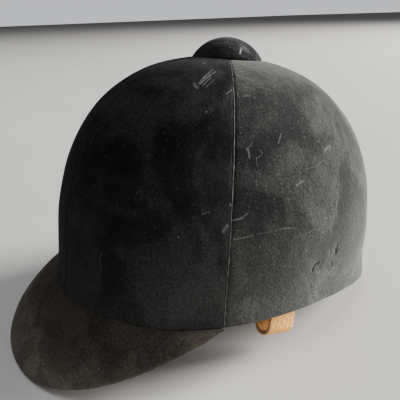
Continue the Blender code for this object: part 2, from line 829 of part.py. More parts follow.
def make_buckle_strap(matrix, leather, brass, cutters, group):
    """Right strap with its buckle frame, bar and prong, and the keeper loop."""
    fold = make_empty("right_strap_joint", matrix, group)
    strap = ribbon("right_strap", buckle_strap_path(), STRAP_WIDTH, leather, group, fold)
    wrap = WIRE_RADIUS + GAP + STRAP_THICKNESS / 2
    bar_x, bar_z = along_strap(BUCKLE_STRAP_LENGTH, wrap)
    lean = Matrix.Rotation(-STRAP_LEAN, 4, "Y")
    bar_matrix = matrix @ Matrix.Translation((bar_x, 0.0, bar_z)) @ lean
    bar_axis = make_empty("buckle_joint", bar_matrix, group, fold)
    slot = box_cutter(
        "prong_slot",
        (-CUTTER_LENGTH / 2, -SLOT_HALF_WIDTH, -SLOT_BELOW_BAR),
        (CUTTER_LENGTH / 2, SLOT_HALF_WIDTH, SLOT_ABOVE_BAR),
        cutters,
        bar_axis,
    )
    cut(strap, slot)
    make_buckle(bar_matrix, bar_axis, brass, group)
    make_keeper(matrix, fold, leather, group)


def make_buckle(matrix, axis, brass, group):
    """Three-sided wire frame with a bar across its open side, and a prong on the bar."""
    side, inside, below = BUCKLE_SIDE, BUCKLE_SIDE - BUCKLE_CORNER, BUCKLE_REACH - BUCKLE_CORNER
    turns = np.linspace(math.pi / 2, 0.0, 5)
    high = [
        (0.0, inside + BUCKLE_CORNER * math.sin(t), below + BUCKLE_CORNER * math.cos(t))
        for t in turns
    ]
    low = [(x, -y, z) for x, y, z in reversed(high)]
    ends = 2 * WIRE_RADIUS
    outline = [(0.0, side, -ends), (0.0, side, 0.0)] + high + low
    outline += [(0.0, -side, 0.0), (0.0, -side, -ends)]
    wire("buckle_frame", outline, WIRE_RADIUS, brass, group, axis)
    bar = side - WIRE_RADIUS - GAP
    wire("buckle_bar", [(0.0, -bar, 0.0), (0.0, bar, 0.0)], WIRE_RADIUS, brass, group, axis)
    prong_axis = make_empty("prong_joint", matrix, group, axis)
    eye = WIRE_RADIUS + GAP + PRONG_RADIUS
    eye_turns = np.linspace(math.radians(200), math.radians(-90), 12)
    path = [(eye * math.sin(t), 0.0, eye * math.cos(t)) for t in eye_turns]
    path += [(-eye, 0.0, PRONG_REACH * 0.4), (-eye, 0.0, PRONG_REACH)]
    wire("buckle_prong", path, PRONG_RADIUS, brass, group, prong_axis)


def make_keeper(matrix, fold, leather, group):
    """Leather keeper loop that slides along the right strap."""
    x, z = along_strap(BUCKLE_STRAP_LENGTH - KEEPER_PLACE, 0.0)
    lean = Matrix.Rotation(-STRAP_LEAN, 4, "Y")
    frame = make_empty("keeper_joint", matrix @ Matrix.Translation((x, 0.0, z)) @ lean, group, fold)
    outer = STRAP_THICKNESS / 2 + KEEPER_PLAY + KEEPER_THICKNESS
    inner = -(STRAP_THICKNESS * 1.5 + 2 * KEEPER_PLAY + KEEPER_THICKNESS)
    half = STRAP_WIDTH / 2 + KEEPER_PLAY + KEEPER_THICKNESS
    chamfer = KEEPER_THICKNESS
    outline = [
        (outer, half - chamfer),
        (outer - chamfer, half),
        (inner + chamfer, half),
        (inner, half - chamfer),
        (inner, -half + chamfer),
        (inner + chamfer, -half),
        (outer - chamfer, -half),
        (outer, -half + chamfer),
    ]
    rows = [[(a, b, level) for a, b in outline] for level in (-KEEPER_WIDTH / 2, KEEPER_WIDTH / 2)]
    points = np.stack([np.array(row) for row in rows], 1)
    sheet("strap_keeper", points, KEEPER_THICKNESS, leather, group, closed=True, parent=frame)


# ---------------------------------------------------------------- the whole hat


def main():
    """Build every piece of the hat."""
    clear_scene()
    group = make_collection("riding_hat")
    cutters = make_collection("cutters")
    velvet = make_material("velvet", (0.016, 0.017, 0.018), 0.95)
    shell_resin = make_material("shell_resin", (0.45, 0.38, 0.26), 0.5)
    cork = make_material("cork", (0.42, 0.28, 0.16), 0.9)
    board = make_material("board", (0.30, 0.24, 0.17), 0.9)
    satin = make_material("satin", (0.04, 0.04, 0.05), 0.4)
    band_leather = make_material("band_leather", (0.30, 0.17, 0.09), 0.6)
    foam = make_material("foam", (0.62, 0.58, 0.50), 0.95)
    strap_leather = make_material("strap_leather", (0.62, 0.40, 0.24), 0.6)
    brass = make_material("brass", (0.72, 0.55, 0.25), 0.35, 1.0)

    shell = make_shell(shell_resin, group)
    make_gores(velvet, group)
    make_peak(velvet, board, satin, group)
    make_button(velvet, board, brass, group)
    make_liner("cork_liner", CORK_DEPTH, CORK, CORK_HOLE, cork, group)
    make_liner("crown_lining", LINING_DEPTH, LINING, CROWN_HOLE, satin, group)
    make_crown_pad(foam, group)
    make_sweatband(band_leather, group)
    ring = whole_ring(FRONT_STEPS // 2, REAR_STEPS // 2)
    front = FRONT_STEPS // 2 - 1
    forehead = np.concatenate([ring[-front:] - 2 * math.pi, ring[: front + 1]])
    make_band_pad("forehead_pad", forehead, foam, group)
    rear = FRONT_STEPS // 2 + 2
    make_band_pad("nape_pad", ring[rear : len(ring) - rear + 1], foam, group)

    left, right = strap_matrix(1), strap_matrix(-1)
    make_tab("left", left, strap_leather, brass, shell, cutters, group)
    make_tab("right", right, strap_leather, brass, shell, cutters, group)
    make_billet(left, strap_leather, cutters, group)
    make_buckle_strap(right, strap_leather, brass, cutters, group)


main()
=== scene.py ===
"""Velvet riding hat: its finished surfaces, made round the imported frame.

Metres, +Z up, in the frame's own place: the hat stands on the front of its peak and the
nape of its rim, its front faces -Y and the wearer's left is +X. The layers are worked out
in the hat's form frame, where the crown's axis is vertical, and then set down as it stands.
"""

import json
import logging
import math
from dataclasses import dataclass
from enum import Enum

import bpy
import numpy as np
from mathutils import Matrix, Vector


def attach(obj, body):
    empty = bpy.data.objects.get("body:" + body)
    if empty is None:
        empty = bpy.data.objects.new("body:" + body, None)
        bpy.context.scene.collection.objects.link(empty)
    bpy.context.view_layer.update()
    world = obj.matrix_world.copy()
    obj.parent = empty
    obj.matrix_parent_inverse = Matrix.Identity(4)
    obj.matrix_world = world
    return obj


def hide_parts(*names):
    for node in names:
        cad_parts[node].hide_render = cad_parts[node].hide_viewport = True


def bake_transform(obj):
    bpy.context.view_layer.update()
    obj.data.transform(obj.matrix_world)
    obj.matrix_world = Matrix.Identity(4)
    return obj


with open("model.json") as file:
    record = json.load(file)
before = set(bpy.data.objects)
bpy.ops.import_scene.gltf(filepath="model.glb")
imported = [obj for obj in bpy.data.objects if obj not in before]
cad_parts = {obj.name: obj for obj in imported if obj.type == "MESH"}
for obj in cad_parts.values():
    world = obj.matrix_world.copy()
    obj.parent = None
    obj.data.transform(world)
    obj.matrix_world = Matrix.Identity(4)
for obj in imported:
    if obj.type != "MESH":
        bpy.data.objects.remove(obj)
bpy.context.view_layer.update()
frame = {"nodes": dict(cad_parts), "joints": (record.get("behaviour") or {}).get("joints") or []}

Array = np.ndarray
Point = tuple[float, float, float]
Colour = tuple[float, float, float]

LOG = logging.getLogger("riding_hat")
HAT = "hat"
MM = 0.001


# ---------------------------------------------------------------- arrays


def unit(vectors: Array) -> Array:
    """Vectors divided by their own lengths."""
    return vectors / np.maximum(np.linalg.norm(vectors, axis=-1, keepdims=True), 1e-12)


def smooth(value: Array, low: float, high: float) -> Array:
    """Smooth step: 3t^2 - 2t^3 of the value's way from low to high."""
    share = np.clip((value - low) / (high - low), 0.0, 1.0)
    return share * share * (3 - 2 * share)


def eased(steps: int, crowd: float) -> Array:
    """Shares from 0 to 1, crowded towards both ends.

    Args:
        steps: number of spans.
        crowd: 0 for even spans, near 1 for spans that shrink to nothing at the ends.

    Returns:
        Share t less crowd times sin(2 pi t) / (2 pi).
    """
    share = np.linspace(0.0, 1.0, steps + 1)
    return share - crowd * np.sin(2 * math.pi * share) / (2 * math.pi)


def path_distance(points: Array, path: Array) -> Array:
    """Shortest distance from each point to a chain of straight runs."""
    nearest = np.full(points.shape[:-1], np.inf)
    for start, end in zip(path[:-1], path[1:]):
        run = end - start
        share = np.clip((points - start) @ run / (run @ run), 0.0, 1.0)
        gap = np.linalg.norm(points - start - share[..., None] * run, axis=-1)
        nearest = np.minimum(nearest, gap)
    return nearest


def smooth_path(points: Array, steps: int) -> Array:
    """Catmull-Rom curve through points, each span divided evenly.

    Args:
        points: the points it goes through.
        steps: spans between one point and the next.

    Returns:
        Points of the curve.
    """
    ends = np.vstack([2 * points[0] - points[1], points, 2 * points[-1] - points[-2]])
    t = np.linspace(0.0, 1.0, steps, endpoint=False)[:, None]
    spans = []
    for a, b, c, d in zip(ends, ends[1:], ends[2:], ends[3:]):
        spans.append(
            0.5 * (2 * b + (c - a) * t + (2 * a - 5 * b + 4 * c - d) * t**2 + (3 * b - a - 3 * c + d) * t**3)
        )
    return np.vstack(spans + [points[-1:]])


def ripple(points: Array, wave: float, height: float, seed: int) -> Array:
    """Gentle unevenness: the mean of nine sine waves across random directions.

    Args:
        points: where it is read.
        wave: mean length of the waves.
        height: half the height of the highest swell, roughly.
        seed: which waves are drawn.

    Returns:
        Height at each point.
    """
    draw = np.random.default_rng(seed)
    total = np.zeros(points.shape[:-1])
    for _ in range(9):
        across = unit(draw.normal(size=3)) * 2 * math.pi / (wave * draw.uniform(0.6, 1.5))
        total += np.sin(points @ across + draw.uniform(0.0, 2 * math.pi))
    return height * total / 4.5


# ---------------------------------------------------------------- meshes


def grid_quads(columns: int, rows: int, wrap_columns: bool, wrap_rows: bool) -> Array:
    """Faces of a grid stored column by column; they face column step x row step."""
    i = np.arange(columns if wrap_columns else columns - 1)[:, None]
    j = np.arange(rows if wrap_rows else rows - 1)[None, :]
    here, there = i * rows, ((i + 1) % columns) * rows
    up = (j + 1) % rows
    return np.stack([here + j, there + j, there + up, here + up], -1).reshape(-1, 4)


def make_object(name: str, points: Array, faces: list[list[int]]) -> bpy.types.Object:
    """New smooth-shaded object at the origin.

    Args:
        name: the piece's name.
        points: vertices, in place.
        faces: corner numbers of each face.

    Returns:
        The object, in the scene's collection.
    """
    mesh = bpy.data.meshes.new(name)
    mesh.from_pydata(points.reshape(-1, 3).tolist(), [], faces)
    mesh.shade_smooth()
    mesh.update()
    item = bpy.data.objects.new(name, mesh)
    bpy.context.scene.collection.objects.link(item)
    return item


def set_values(item: bpy.types.Object, name: str, values: Array) -> None:
    """Store one number for each vertex as an attribute that materials can read."""
    attribute = item.data.attributes.new(name, "FLOAT", "POINT")
    attribute.data.foreach_set("value", values.astype(np.float32).ravel())


def grid_object(
    name: str, points: Array, wrap_columns: bool = False, wrap_rows: bool = False
) -> bpy.types.Object:
    """Object over a grid of points, with a UV map in metres along both directions.

    Args:
        name: the piece's name.
        points: columns by rows of places.
        wrap_columns: the last column joins the first.
        wrap_rows: the last row joins the first.

    Returns:
        The object. U is the mean way across the columns and V the mean way up the rows.
    """
    columns, rows = points.shape[:2]
    quads = grid_quads(columns, rows, wrap_columns, wrap_rows)
    item = make_object(name, points, quads.tolist())
    across = np.linalg.norm(np.roll(points, -1, 0) - points, axis=-1).mean(1)
    along = np.linalg.norm(np.roll(points, -1, 1) - points, axis=-1).mean(0)
    u = np.concatenate([[0.0], np.cumsum(across)])
    v = np.concatenate([[0.0], np.cumsum(along)])
    i = np.arange(columns if wrap_columns else columns - 1)[:, None]
    j = np.arange(rows if wrap_rows else rows - 1)[None, :]
    corners = [(i, j), (i + 1, j), (i + 1, j + 1), (i, j + 1)]
    flat = np.stack([np.stack(np.broadcast_arrays(u[a], v[b]), -1) for a, b in corners], 2)
    layer = item.data.uv_layers.new(name="UVMap")
    layer.data.foreach_set("uv", flat.astype(np.float32).ravel())
    return item


def loft_object(name: str, sections: Array, pole: bool = False) -> bpy.types.Object:
    """Closed body through ring sections, with its ends capped.

    Args:
        name: the piece's name.
        sections: stations by points, each ring anticlockwise as seen from the far end.
        pole: the first ring closes on one vertex at its middle, and not on a flat cap.

    Returns:
        The object, with the same UV map as a grid.
    """
    stations, count = sections.shape[:2]
    grid = np.swapaxes(sections, 0, 1)
    item = grid_object(name, grid, wrap_columns=True)
    mesh = item.data
    uv = np.zeros(len(mesh.loops) * 2, np.float32)
    mesh.uv_layers[0].data.foreach_get("uv", uv)
    start = (np.arange(count) * stations).tolist()[::-1]
    end = (np.arange(count) * stations + stations - 1).tolist()
    faces = [list(face.vertices) for face in mesh.polygons]
    points = grid.reshape(-1, 3)
    if pole:
        centre = sections[0].mean(0)
        points = np.vstack([points, centre])
        top = len(points) - 1
        faces += [[a, b, top] for a, b in zip(start, start[1:] + start[:1])]
    else:
        faces.append(start)
    faces.append(end)
    bpy.data.objects.remove(item)
    bpy.data.meshes.remove(mesh)
    item = make_object(name, points, faces)
    layer = item.data.uv_layers.new(name="UVMap")
    whole = np.zeros(len(item.data.loops) * 2, np.float32)
    whole[: len(uv)] = uv
    layer.data.foreach_set("uv", whole)
    return item


def rounded_sections(
    centres: Array, across: Array, normal: Array, widths: Array, thickness: float, corner: float
) -> Array:
    """Rounded-rectangle rings carried along a path.

    Args:
        centres: stations of the path.
        across: unit direction of the width.
        normal: unit direction of the thickness at each station.
        widths: width at each station.
        thickness: thickness of the strip.
        corner: radius of its edges.

    Returns:
        Stations by points. Each corner is a quarter circle of five points, about a centre
        that lies a corner radius inside the strip's two faces.
    """
    turns = np.concatenate([np.linspace(0.0, 0.5, 5) + 0.5 * k for k in range(4)]) * math.pi
    signs = np.repeat([[1, 1], [-1, 1], [-1, -1], [1, -1]], 5, axis=0)
    half = np.maximum(widths / 2, corner)[:, None]
    a = signs[:, 0] * (half - corner) + corner * np.cos(turns)
    b = signs[:, 1] * (thickness / 2 - corner) + corner * np.sin(turns)
    b = np.broadcast_to(b, a.shape)
    return centres[:, None] + a[..., None] * across + b[..., None] * normal[:, None]


def tube_sections(path: Array, radius: Array | float, side: Array, count: int = 14) -> Array:
    """Round rings along a path.

    Args:
        path: stations of the centreline.
        radius: the tube's radius, the same everywhere or one for each station.
        side: a direction that the path nowhere runs along.
        count: points on each ring.

    Returns:
        Stations by points: centre + radius (side cos + up sin), square to the path.
    """
    along = unit(np.gradient(path, axis=0))
    across = unit(side - along * (along @ side)[:, None])
    up = np.cross(along, across)
    turns = np.arange(count) * 2 * math.pi / count
    ring = across[:, None] * np.cos(turns)[:, None] + up[:, None] * np.sin(turns)[:, None]
    return path[:, None] + ring * np.reshape(np.broadcast_to(radius, len(path)), (-1, 1, 1))


def scatter(name: str, shape: Array, places: Array, axes: Array, closed: bool) -> bpy.types.Object:
    """One small grid shape repeated at many places.

    Args:
        name: the piece's name.
        shape: the shape's own grid, columns by rows, about its own origin.
        places: where each copy goes.
        axes: the three directions of each copy, as the rows of a matrix.
        closed: the shape's columns join.

    Returns:
        One object of all the copies.
    """
    columns, rows = shape.shape[:2]
    base = shape.reshape(-1, 3)
    points = np.einsum("vk,nkc->nvc", base, axes) + places[:, None]
    quads = grid_quads(columns, rows, closed, False)
    faces = (quads[None] + (np.arange(len(places)) * len(base))[:, None, None]).reshape(-1, 4)
    return make_object(name, points, faces.tolist())


def stitch_shape(length: float, radius: float) -> Array:
    """Grid of one stitch: a spindle along X, its radius the root of a falling square."""
    share = np.linspace(-0.98, 0.98, 7)
    turns = np.arange(6) * math.pi / 3
    girth = radius * np.sqrt(1 - share**2)
    x = np.broadcast_to(share * length / 2, (6, 7))
    return np.stack([x, np.outer(np.cos(turns), girth), np.outer(np.sin(turns), girth)], -1)


def stitch_row(
    name: str, path: Array, outward: Array, length: float, pitch: float, radius: float
) -> bpy.types.Object:
    """Row of stitches along a path.

    Args:
        name: the piece's name.
        path: stations of the seam.
        outward: direction that the thread shows on, at each station.
        length: length of a stitch.
        pitch: way from one stitch to the next.
        radius: radius of the thread.

    Returns:
        One object of all the stitches.
    """
    steps = np.linalg.norm(np.diff(path, axis=0), axis=-1)
    way = np.concatenate([[0.0], np.cumsum(steps)])
    marks = np.arange(pitch / 2, way[-1], pitch)
    places = np.stack([np.interp(marks, way, path[:, k]) for k in range(3)], -1)
    facing = unit(np.stack([np.interp(marks, way, outward[:, k]) for k in range(3)], -1))
    ahead = np.stack([np.interp(marks + pitch / 4, way, path[:, k]) for k in range(3)], -1)
    along = unit(ahead - places + 1e-9)
    side = unit(np.cross(facing, along))
    axes = np.stack([along, side, np.cross(along, side)], 1)
    return scatter(name, stitch_shape(length, radius), places, axes, True)


def thicken(item: bpy.types.Object, thickness: float) -> None:
    """Give an open surface a wall behind its outer face."""
    wall = item.modifiers.new("wall", "SOLIDIFY")
    wall.thickness = thickness
    wall.offset = -1.0
    wall.use_even_offset = True


def stretch_cloth(item: bpy.types.Object, points: Array) -> None:
    """Log the cut of a fitted cloth.

    Args:
        item: the cloth, before its wall is given thickness.
        points: its grid.

    The cut's rectangle is the longest column by the longest row, and its area the mesh's.
    """
    width = float(np.linalg.norm(np.diff(points, axis=0), axis=-1).sum(0).max())
    length = float(np.linalg.norm(np.diff(points, axis=1), axis=-1).sum(1).max())
    area = sum(face.area for face in item.data.polygons)
    area = min(max(area, 0.3 * width * length), width * length)
    LOG.info("%s cut: %.3f by %.3f m, %.4f square metres", item.name, width, length, area)


# ---------------------------------------------------------------- form of the hat


@dataclass(frozen=True)
class HatForm:
    """Outer form of the hat, with the driving dimensions of the frame."""

    half_width: float = 0.1017
    front_length: float = 0.1227
    rear_length: float = 0.1232
    crown_height: float = 0.1571
    wall_top: float = 0.0204
    plan_front: float = 2.09
    plan_rear: float = 2.26
    dome_front: float = 2.46
    dome_rear: float = 2.345
    rim_flare: float = 0.020
    rim_places: tuple[float, ...] = (-0.1227, -0.0588, 0.020, 0.1232)
    rim_heights: tuple[float, ...] = (0.0005, 0.0021, 0.0054, -0.0141)
    tilt: float = math.radians(5.99)
    shift: Point = (0.0, 0.018018, 0.027138)
    hem_radius: float = 0.0015
    crown_hole: float = 0.030

    def plan(self, angle: Array) -> tuple[Array, Array]:
        """Plan outline: a superellipse whose power and length differ front and rear."""
        rear = np.sin(angle) > 0
        power = np.where(rear, self.plan_rear, self.plan_front)
        length = np.where(rear, self.rear_length, self.front_length)
        cos, sin = np.cos(angle), np.sin(angle)
        x = self.half_width * np.sign(cos) * np.abs(cos) ** (2 / power)
        return x, length * np.sign(sin) * np.abs(sin) ** (2 / power)

    def rim(self, angle: Array) -> Array:
        """Height of the rim: the cubic through its four known heights along the hat."""
        curve = np.polyfit(self.rim_places, self.rim_heights, 3)
        return np.polyval(curve, self.plan(angle)[1])

    def seam(self) -> float:
        """Plan angle of the side seam, which meets the rim at the temple."""
        share = -self.rim_places[1] / self.front_length
        return math.asin(share ** (self.plan_front / 2))

    def at_height(self, angle: Array, height: Array) -> Array:
        """Outer surface at plan angles and heights.

        The plan is scaled by (1 - u^p)^(1/p), with u the height's share of the dome and p
        the dome's power, and flared below the wall's top by flare t^2 (2 - t).
        """
        x, y = self.plan(angle)
        rearward = 0.5 + 0.5 * np.sin(angle)
        power = self.dome_front + (self.dome_rear - self.dome_front) * rearward
        rise = np.clip((height - self.wall_top) / (self.crown_height - self.wall_top), 0.0, 1.0)
        down = np.clip((self.wall_top - height) / self.wall_top, 0.0, 1.0)
        scale = (1 - rise**power) ** (1 / power)
        scale = scale * (1 + self.rim_flare * down * down * (2 - down))
        return np.stack([x * scale, y * scale, height + 0 * x], -1)

    def surface(self, angle: Array, climb: Array) -> Array:
        """Outer surface at plan angles and a climb: 0 to 1 up the wall, 1 to 2 up the dome.

        On the dome the height is the sine of an even turn, to the power 2/p, so that rows
        lie evenly along the curve up to the crown hole.
        """
        foot = self.rim(angle) + self.hem_radius
        rearward = 0.5 + 0.5 * np.sin(angle)
        power = self.dome_front + (self.dome_rear - self.dome_front) * rearward
        last = np.arccos(self.crown_hole ** (power / 2))
        turn = np.clip(climb - 1, 0.0, 1.0) * last
        wall = foot + (self.wall_top - foot) * np.clip(climb, None, 1.0)
        dome = (self.crown_height - self.wall_top) * np.sin(turn) ** (2 / power)
        return self.at_height(angle, wall + dome)

    def normals(self, angle: Array, climb: Array) -> Array:
        """Outward normals: the step round the hat crossed with the step up it."""
        step = 0.004
        low, high = np.maximum(climb - step, -0.5), np.minimum(climb + step, 1.999)
        around = self.surface(angle + step, climb) - self.surface(angle - step, climb)
        return unit(np.cross(around, self.surface(angle, high) - self.surface(angle, low)))

    def beside_rim(self, angle: Array, rise: Array, depth: Array) -> Array:
        """Places at a rise over the rim and a depth inside the outer wall."""
        step = 0.002
        height = self.rim(angle) + rise
        around = self.at_height(angle + step, height) - self.at_height(angle - step, height)
        up = self.at_height(angle, height + step) - self.at_height(angle, height - step)
        return self.at_height(angle, height) - unit(np.cross(around, up)) * depth[..., None]

    def stand(self, points: Array) -> Array:
        """Points of the form frame as they lie on the standing hat."""
        cos, sin = math.cos(self.tilt), math.sin(self.tilt)
        x, y, z = points[..., 0], points[..., 1], points[..., 2]
        return np.stack([x, y * cos + z * sin, z * cos - y * sin], -1) + np.array(self.shift)

    def turn(self, vectors: Array) -> Array:
        """Directions of the form frame as they lie on the standing hat."""
        return self.stand(vectors) - np.array(self.shift)


# ---------------------------------------------------------------- shader graphs


Socket = bpy.types.NodeSocket
Feed = Socket | float | tuple


class Graph:
    """A node tree being wired, with short calls for the nodes that recur."""

    def __init__(self, tree: bpy.types.NodeTree) -> None:
        """Start wiring a tree."""
        self.tree = tree

    def node(self, kind: str, **settings: object) -> bpy.types.Node:
        """New node of a kind, with its own settings."""
        made = self.tree.nodes.new(kind)
        for name, value in settings.items():
            setattr(made, name, value)
        return made

    def feed(self, socket: Socket, value: Feed) -> None:
        """Link a socket into an input, or set the input's own value."""
        if isinstance(value, bpy.types.NodeSocket):
            self.tree.links.new(value, socket)
        elif isinstance(value, tuple) and socket.type == "RGBA":
            socket.default_value = (*value[:3], 1.0)
        else:
            socket.default_value = value

    def math(self, operation: str, a: Feed, b: Feed = 0.0, clamp: bool = False) -> Socket:
        """Result of one Math node."""
        made = self.node("ShaderNodeMath", operation=operation, use_clamp=clamp)
        self.feed(made.inputs[0], a)
        self.feed(made.inputs[1], b)
        return made.outputs[0]

    def times(self, *factors: Feed) -> Socket:
        """Product of two or more factors, from the left."""
        product = factors[0]
        for factor in factors[1:]:
            product = self.math("MULTIPLY", product, factor)
        return product

    def scaled(self, value: Feed, factor: float, added: float) -> Socket:
        """Value times a factor, plus a constant."""
        made = self.node("ShaderNodeMath", operation="MULTIPLY_ADD")
        for place, feed in zip(range(3), (value, factor, added)):
            self.feed(made.inputs[place], feed)
        return made.outputs[0]

    def vector(self, operation: str, a: Feed, b: Feed = (0.0, 0.0, 0.0)) -> bpy.types.Node:
        """One Vector Math node."""
        made = self.node("ShaderNodeVectorMath", operation=operation)
        self.feed(made.inputs[0], a)
        if operation == "SCALE":
            self.feed(made.inputs[3], b)
        else:
            self.feed(made.inputs[1], b)
        return made

    def noise(
        self, vector: Socket, scale: float, detail: float = 2.0, rough: float = 0.5, warp: float = 0.0
    ) -> Socket:
        """Value of a Noise texture, about 0.5 on average."""
        made = self.node("ShaderNodeTexNoise")
        self.feed(made.inputs["Vector"], vector)
        made.inputs["Scale"].default_value = scale
        made.inputs["Detail"].default_value = detail
        made.inputs["Roughness"].default_value = rough
        made.inputs["Distortion"].default_value = warp
        return made.outputs[0]

    def remap(
        self, value: Feed, low: Feed, high: Feed, first: Feed = 0.0, last: Feed = 1.0
    ) -> Socket:
        """Value carried smoothly from one range to another, and held at its ends."""
        made = self.node("ShaderNodeMapRange", interpolation_type="SMOOTHSTEP")
        for place, feed in zip(range(5), (value, low, high, first, last)):
            self.feed(made.inputs[place], feed)
        return made.outputs[0]

    def mix(self, share: Feed, a: Feed, b: Feed, blend: str = "MIX") -> Socket:
        """Colour between two others."""
        made = self.node("ShaderNodeMix", data_type="RGBA", blend_type=blend)
        self.feed(made.inputs["Factor"], share)
        self.feed(made.inputs["A"], a)
        self.feed(made.inputs["B"], b)
        return made.outputs["Result"]

    def bump(self, height: Socket, distance: float, normal: Socket | None = None) -> Socket:
        """Normal bent by a height."""
        made = self.node("ShaderNodeBump")
        made.inputs["Strength"].default_value = 1.0
        made.inputs["Distance"].default_value = distance
        self.feed(made.inputs["Height"], height)
        if normal is not None:
            self.feed(made.inputs["Normal"], normal)
        return made.outputs["Normal"]

    def group(self, tree: bpy.types.NodeTree, **inputs: Feed) -> bpy.types.Node:
        """One use of a shared effect."""
        made = self.node("ShaderNodeGroup", node_tree=tree)
        for name, value in inputs.items():
            self.feed(made.inputs[name], value)
        return made

    def parts(self, vector: Socket) -> tuple[Socket, Socket, Socket]:
        """The three parts of a vector."""
        made = self.node("ShaderNodeSeparateXYZ")
        self.feed(made.inputs[0], vector)
        return made.outputs[0], made.outputs[1], made.outputs[2]

    def place(self) -> Socket:
        """Object coordinates, which are the frame's metres."""
        return self.node("ShaderNodeTexCoord").outputs["Object"]

    def uv(self) -> Socket:
        """The piece's own UV map, in metres."""
        return self.node("ShaderNodeTexCoord").outputs["UV"]

    def attribute(self, name: str) -> Socket:
        """A number stored on the mesh."""
        return self.node("ShaderNodeAttribute", attribute_name=name).outputs["Fac"]


def new_effect(
    name: str, inputs: dict[str, tuple[str, Feed]], outputs: dict[str, str]
) -> tuple[Graph, bpy.types.Node, bpy.types.Node]:
    """Empty node group for a shared effect.

    Args:
        name: the effect's name.
        inputs: each input's socket type and starting value.
        outputs: each output's socket type.

    Returns:
        The group's graph, its input node and its output node.
    """
    tree = bpy.data.node_groups.new(name, "ShaderNodeTree")
    for label, (kind, value) in inputs.items():
        socket = tree.interface.new_socket(name=label, in_out="INPUT", socket_type=kind)
        socket.default_value = value
    for label, kind in outputs.items():
        tree.interface.new_socket(name=label, in_out="OUTPUT", socket_type=kind)
    graph = Graph(tree)
    return graph, graph.node("NodeGroupInput"), graph.node("NodeGroupOutput")


VECTOR, FLOAT = "NodeSocketVector", "NodeSocketFloat"
ZERO = (0.0, 0.0, 0.0)


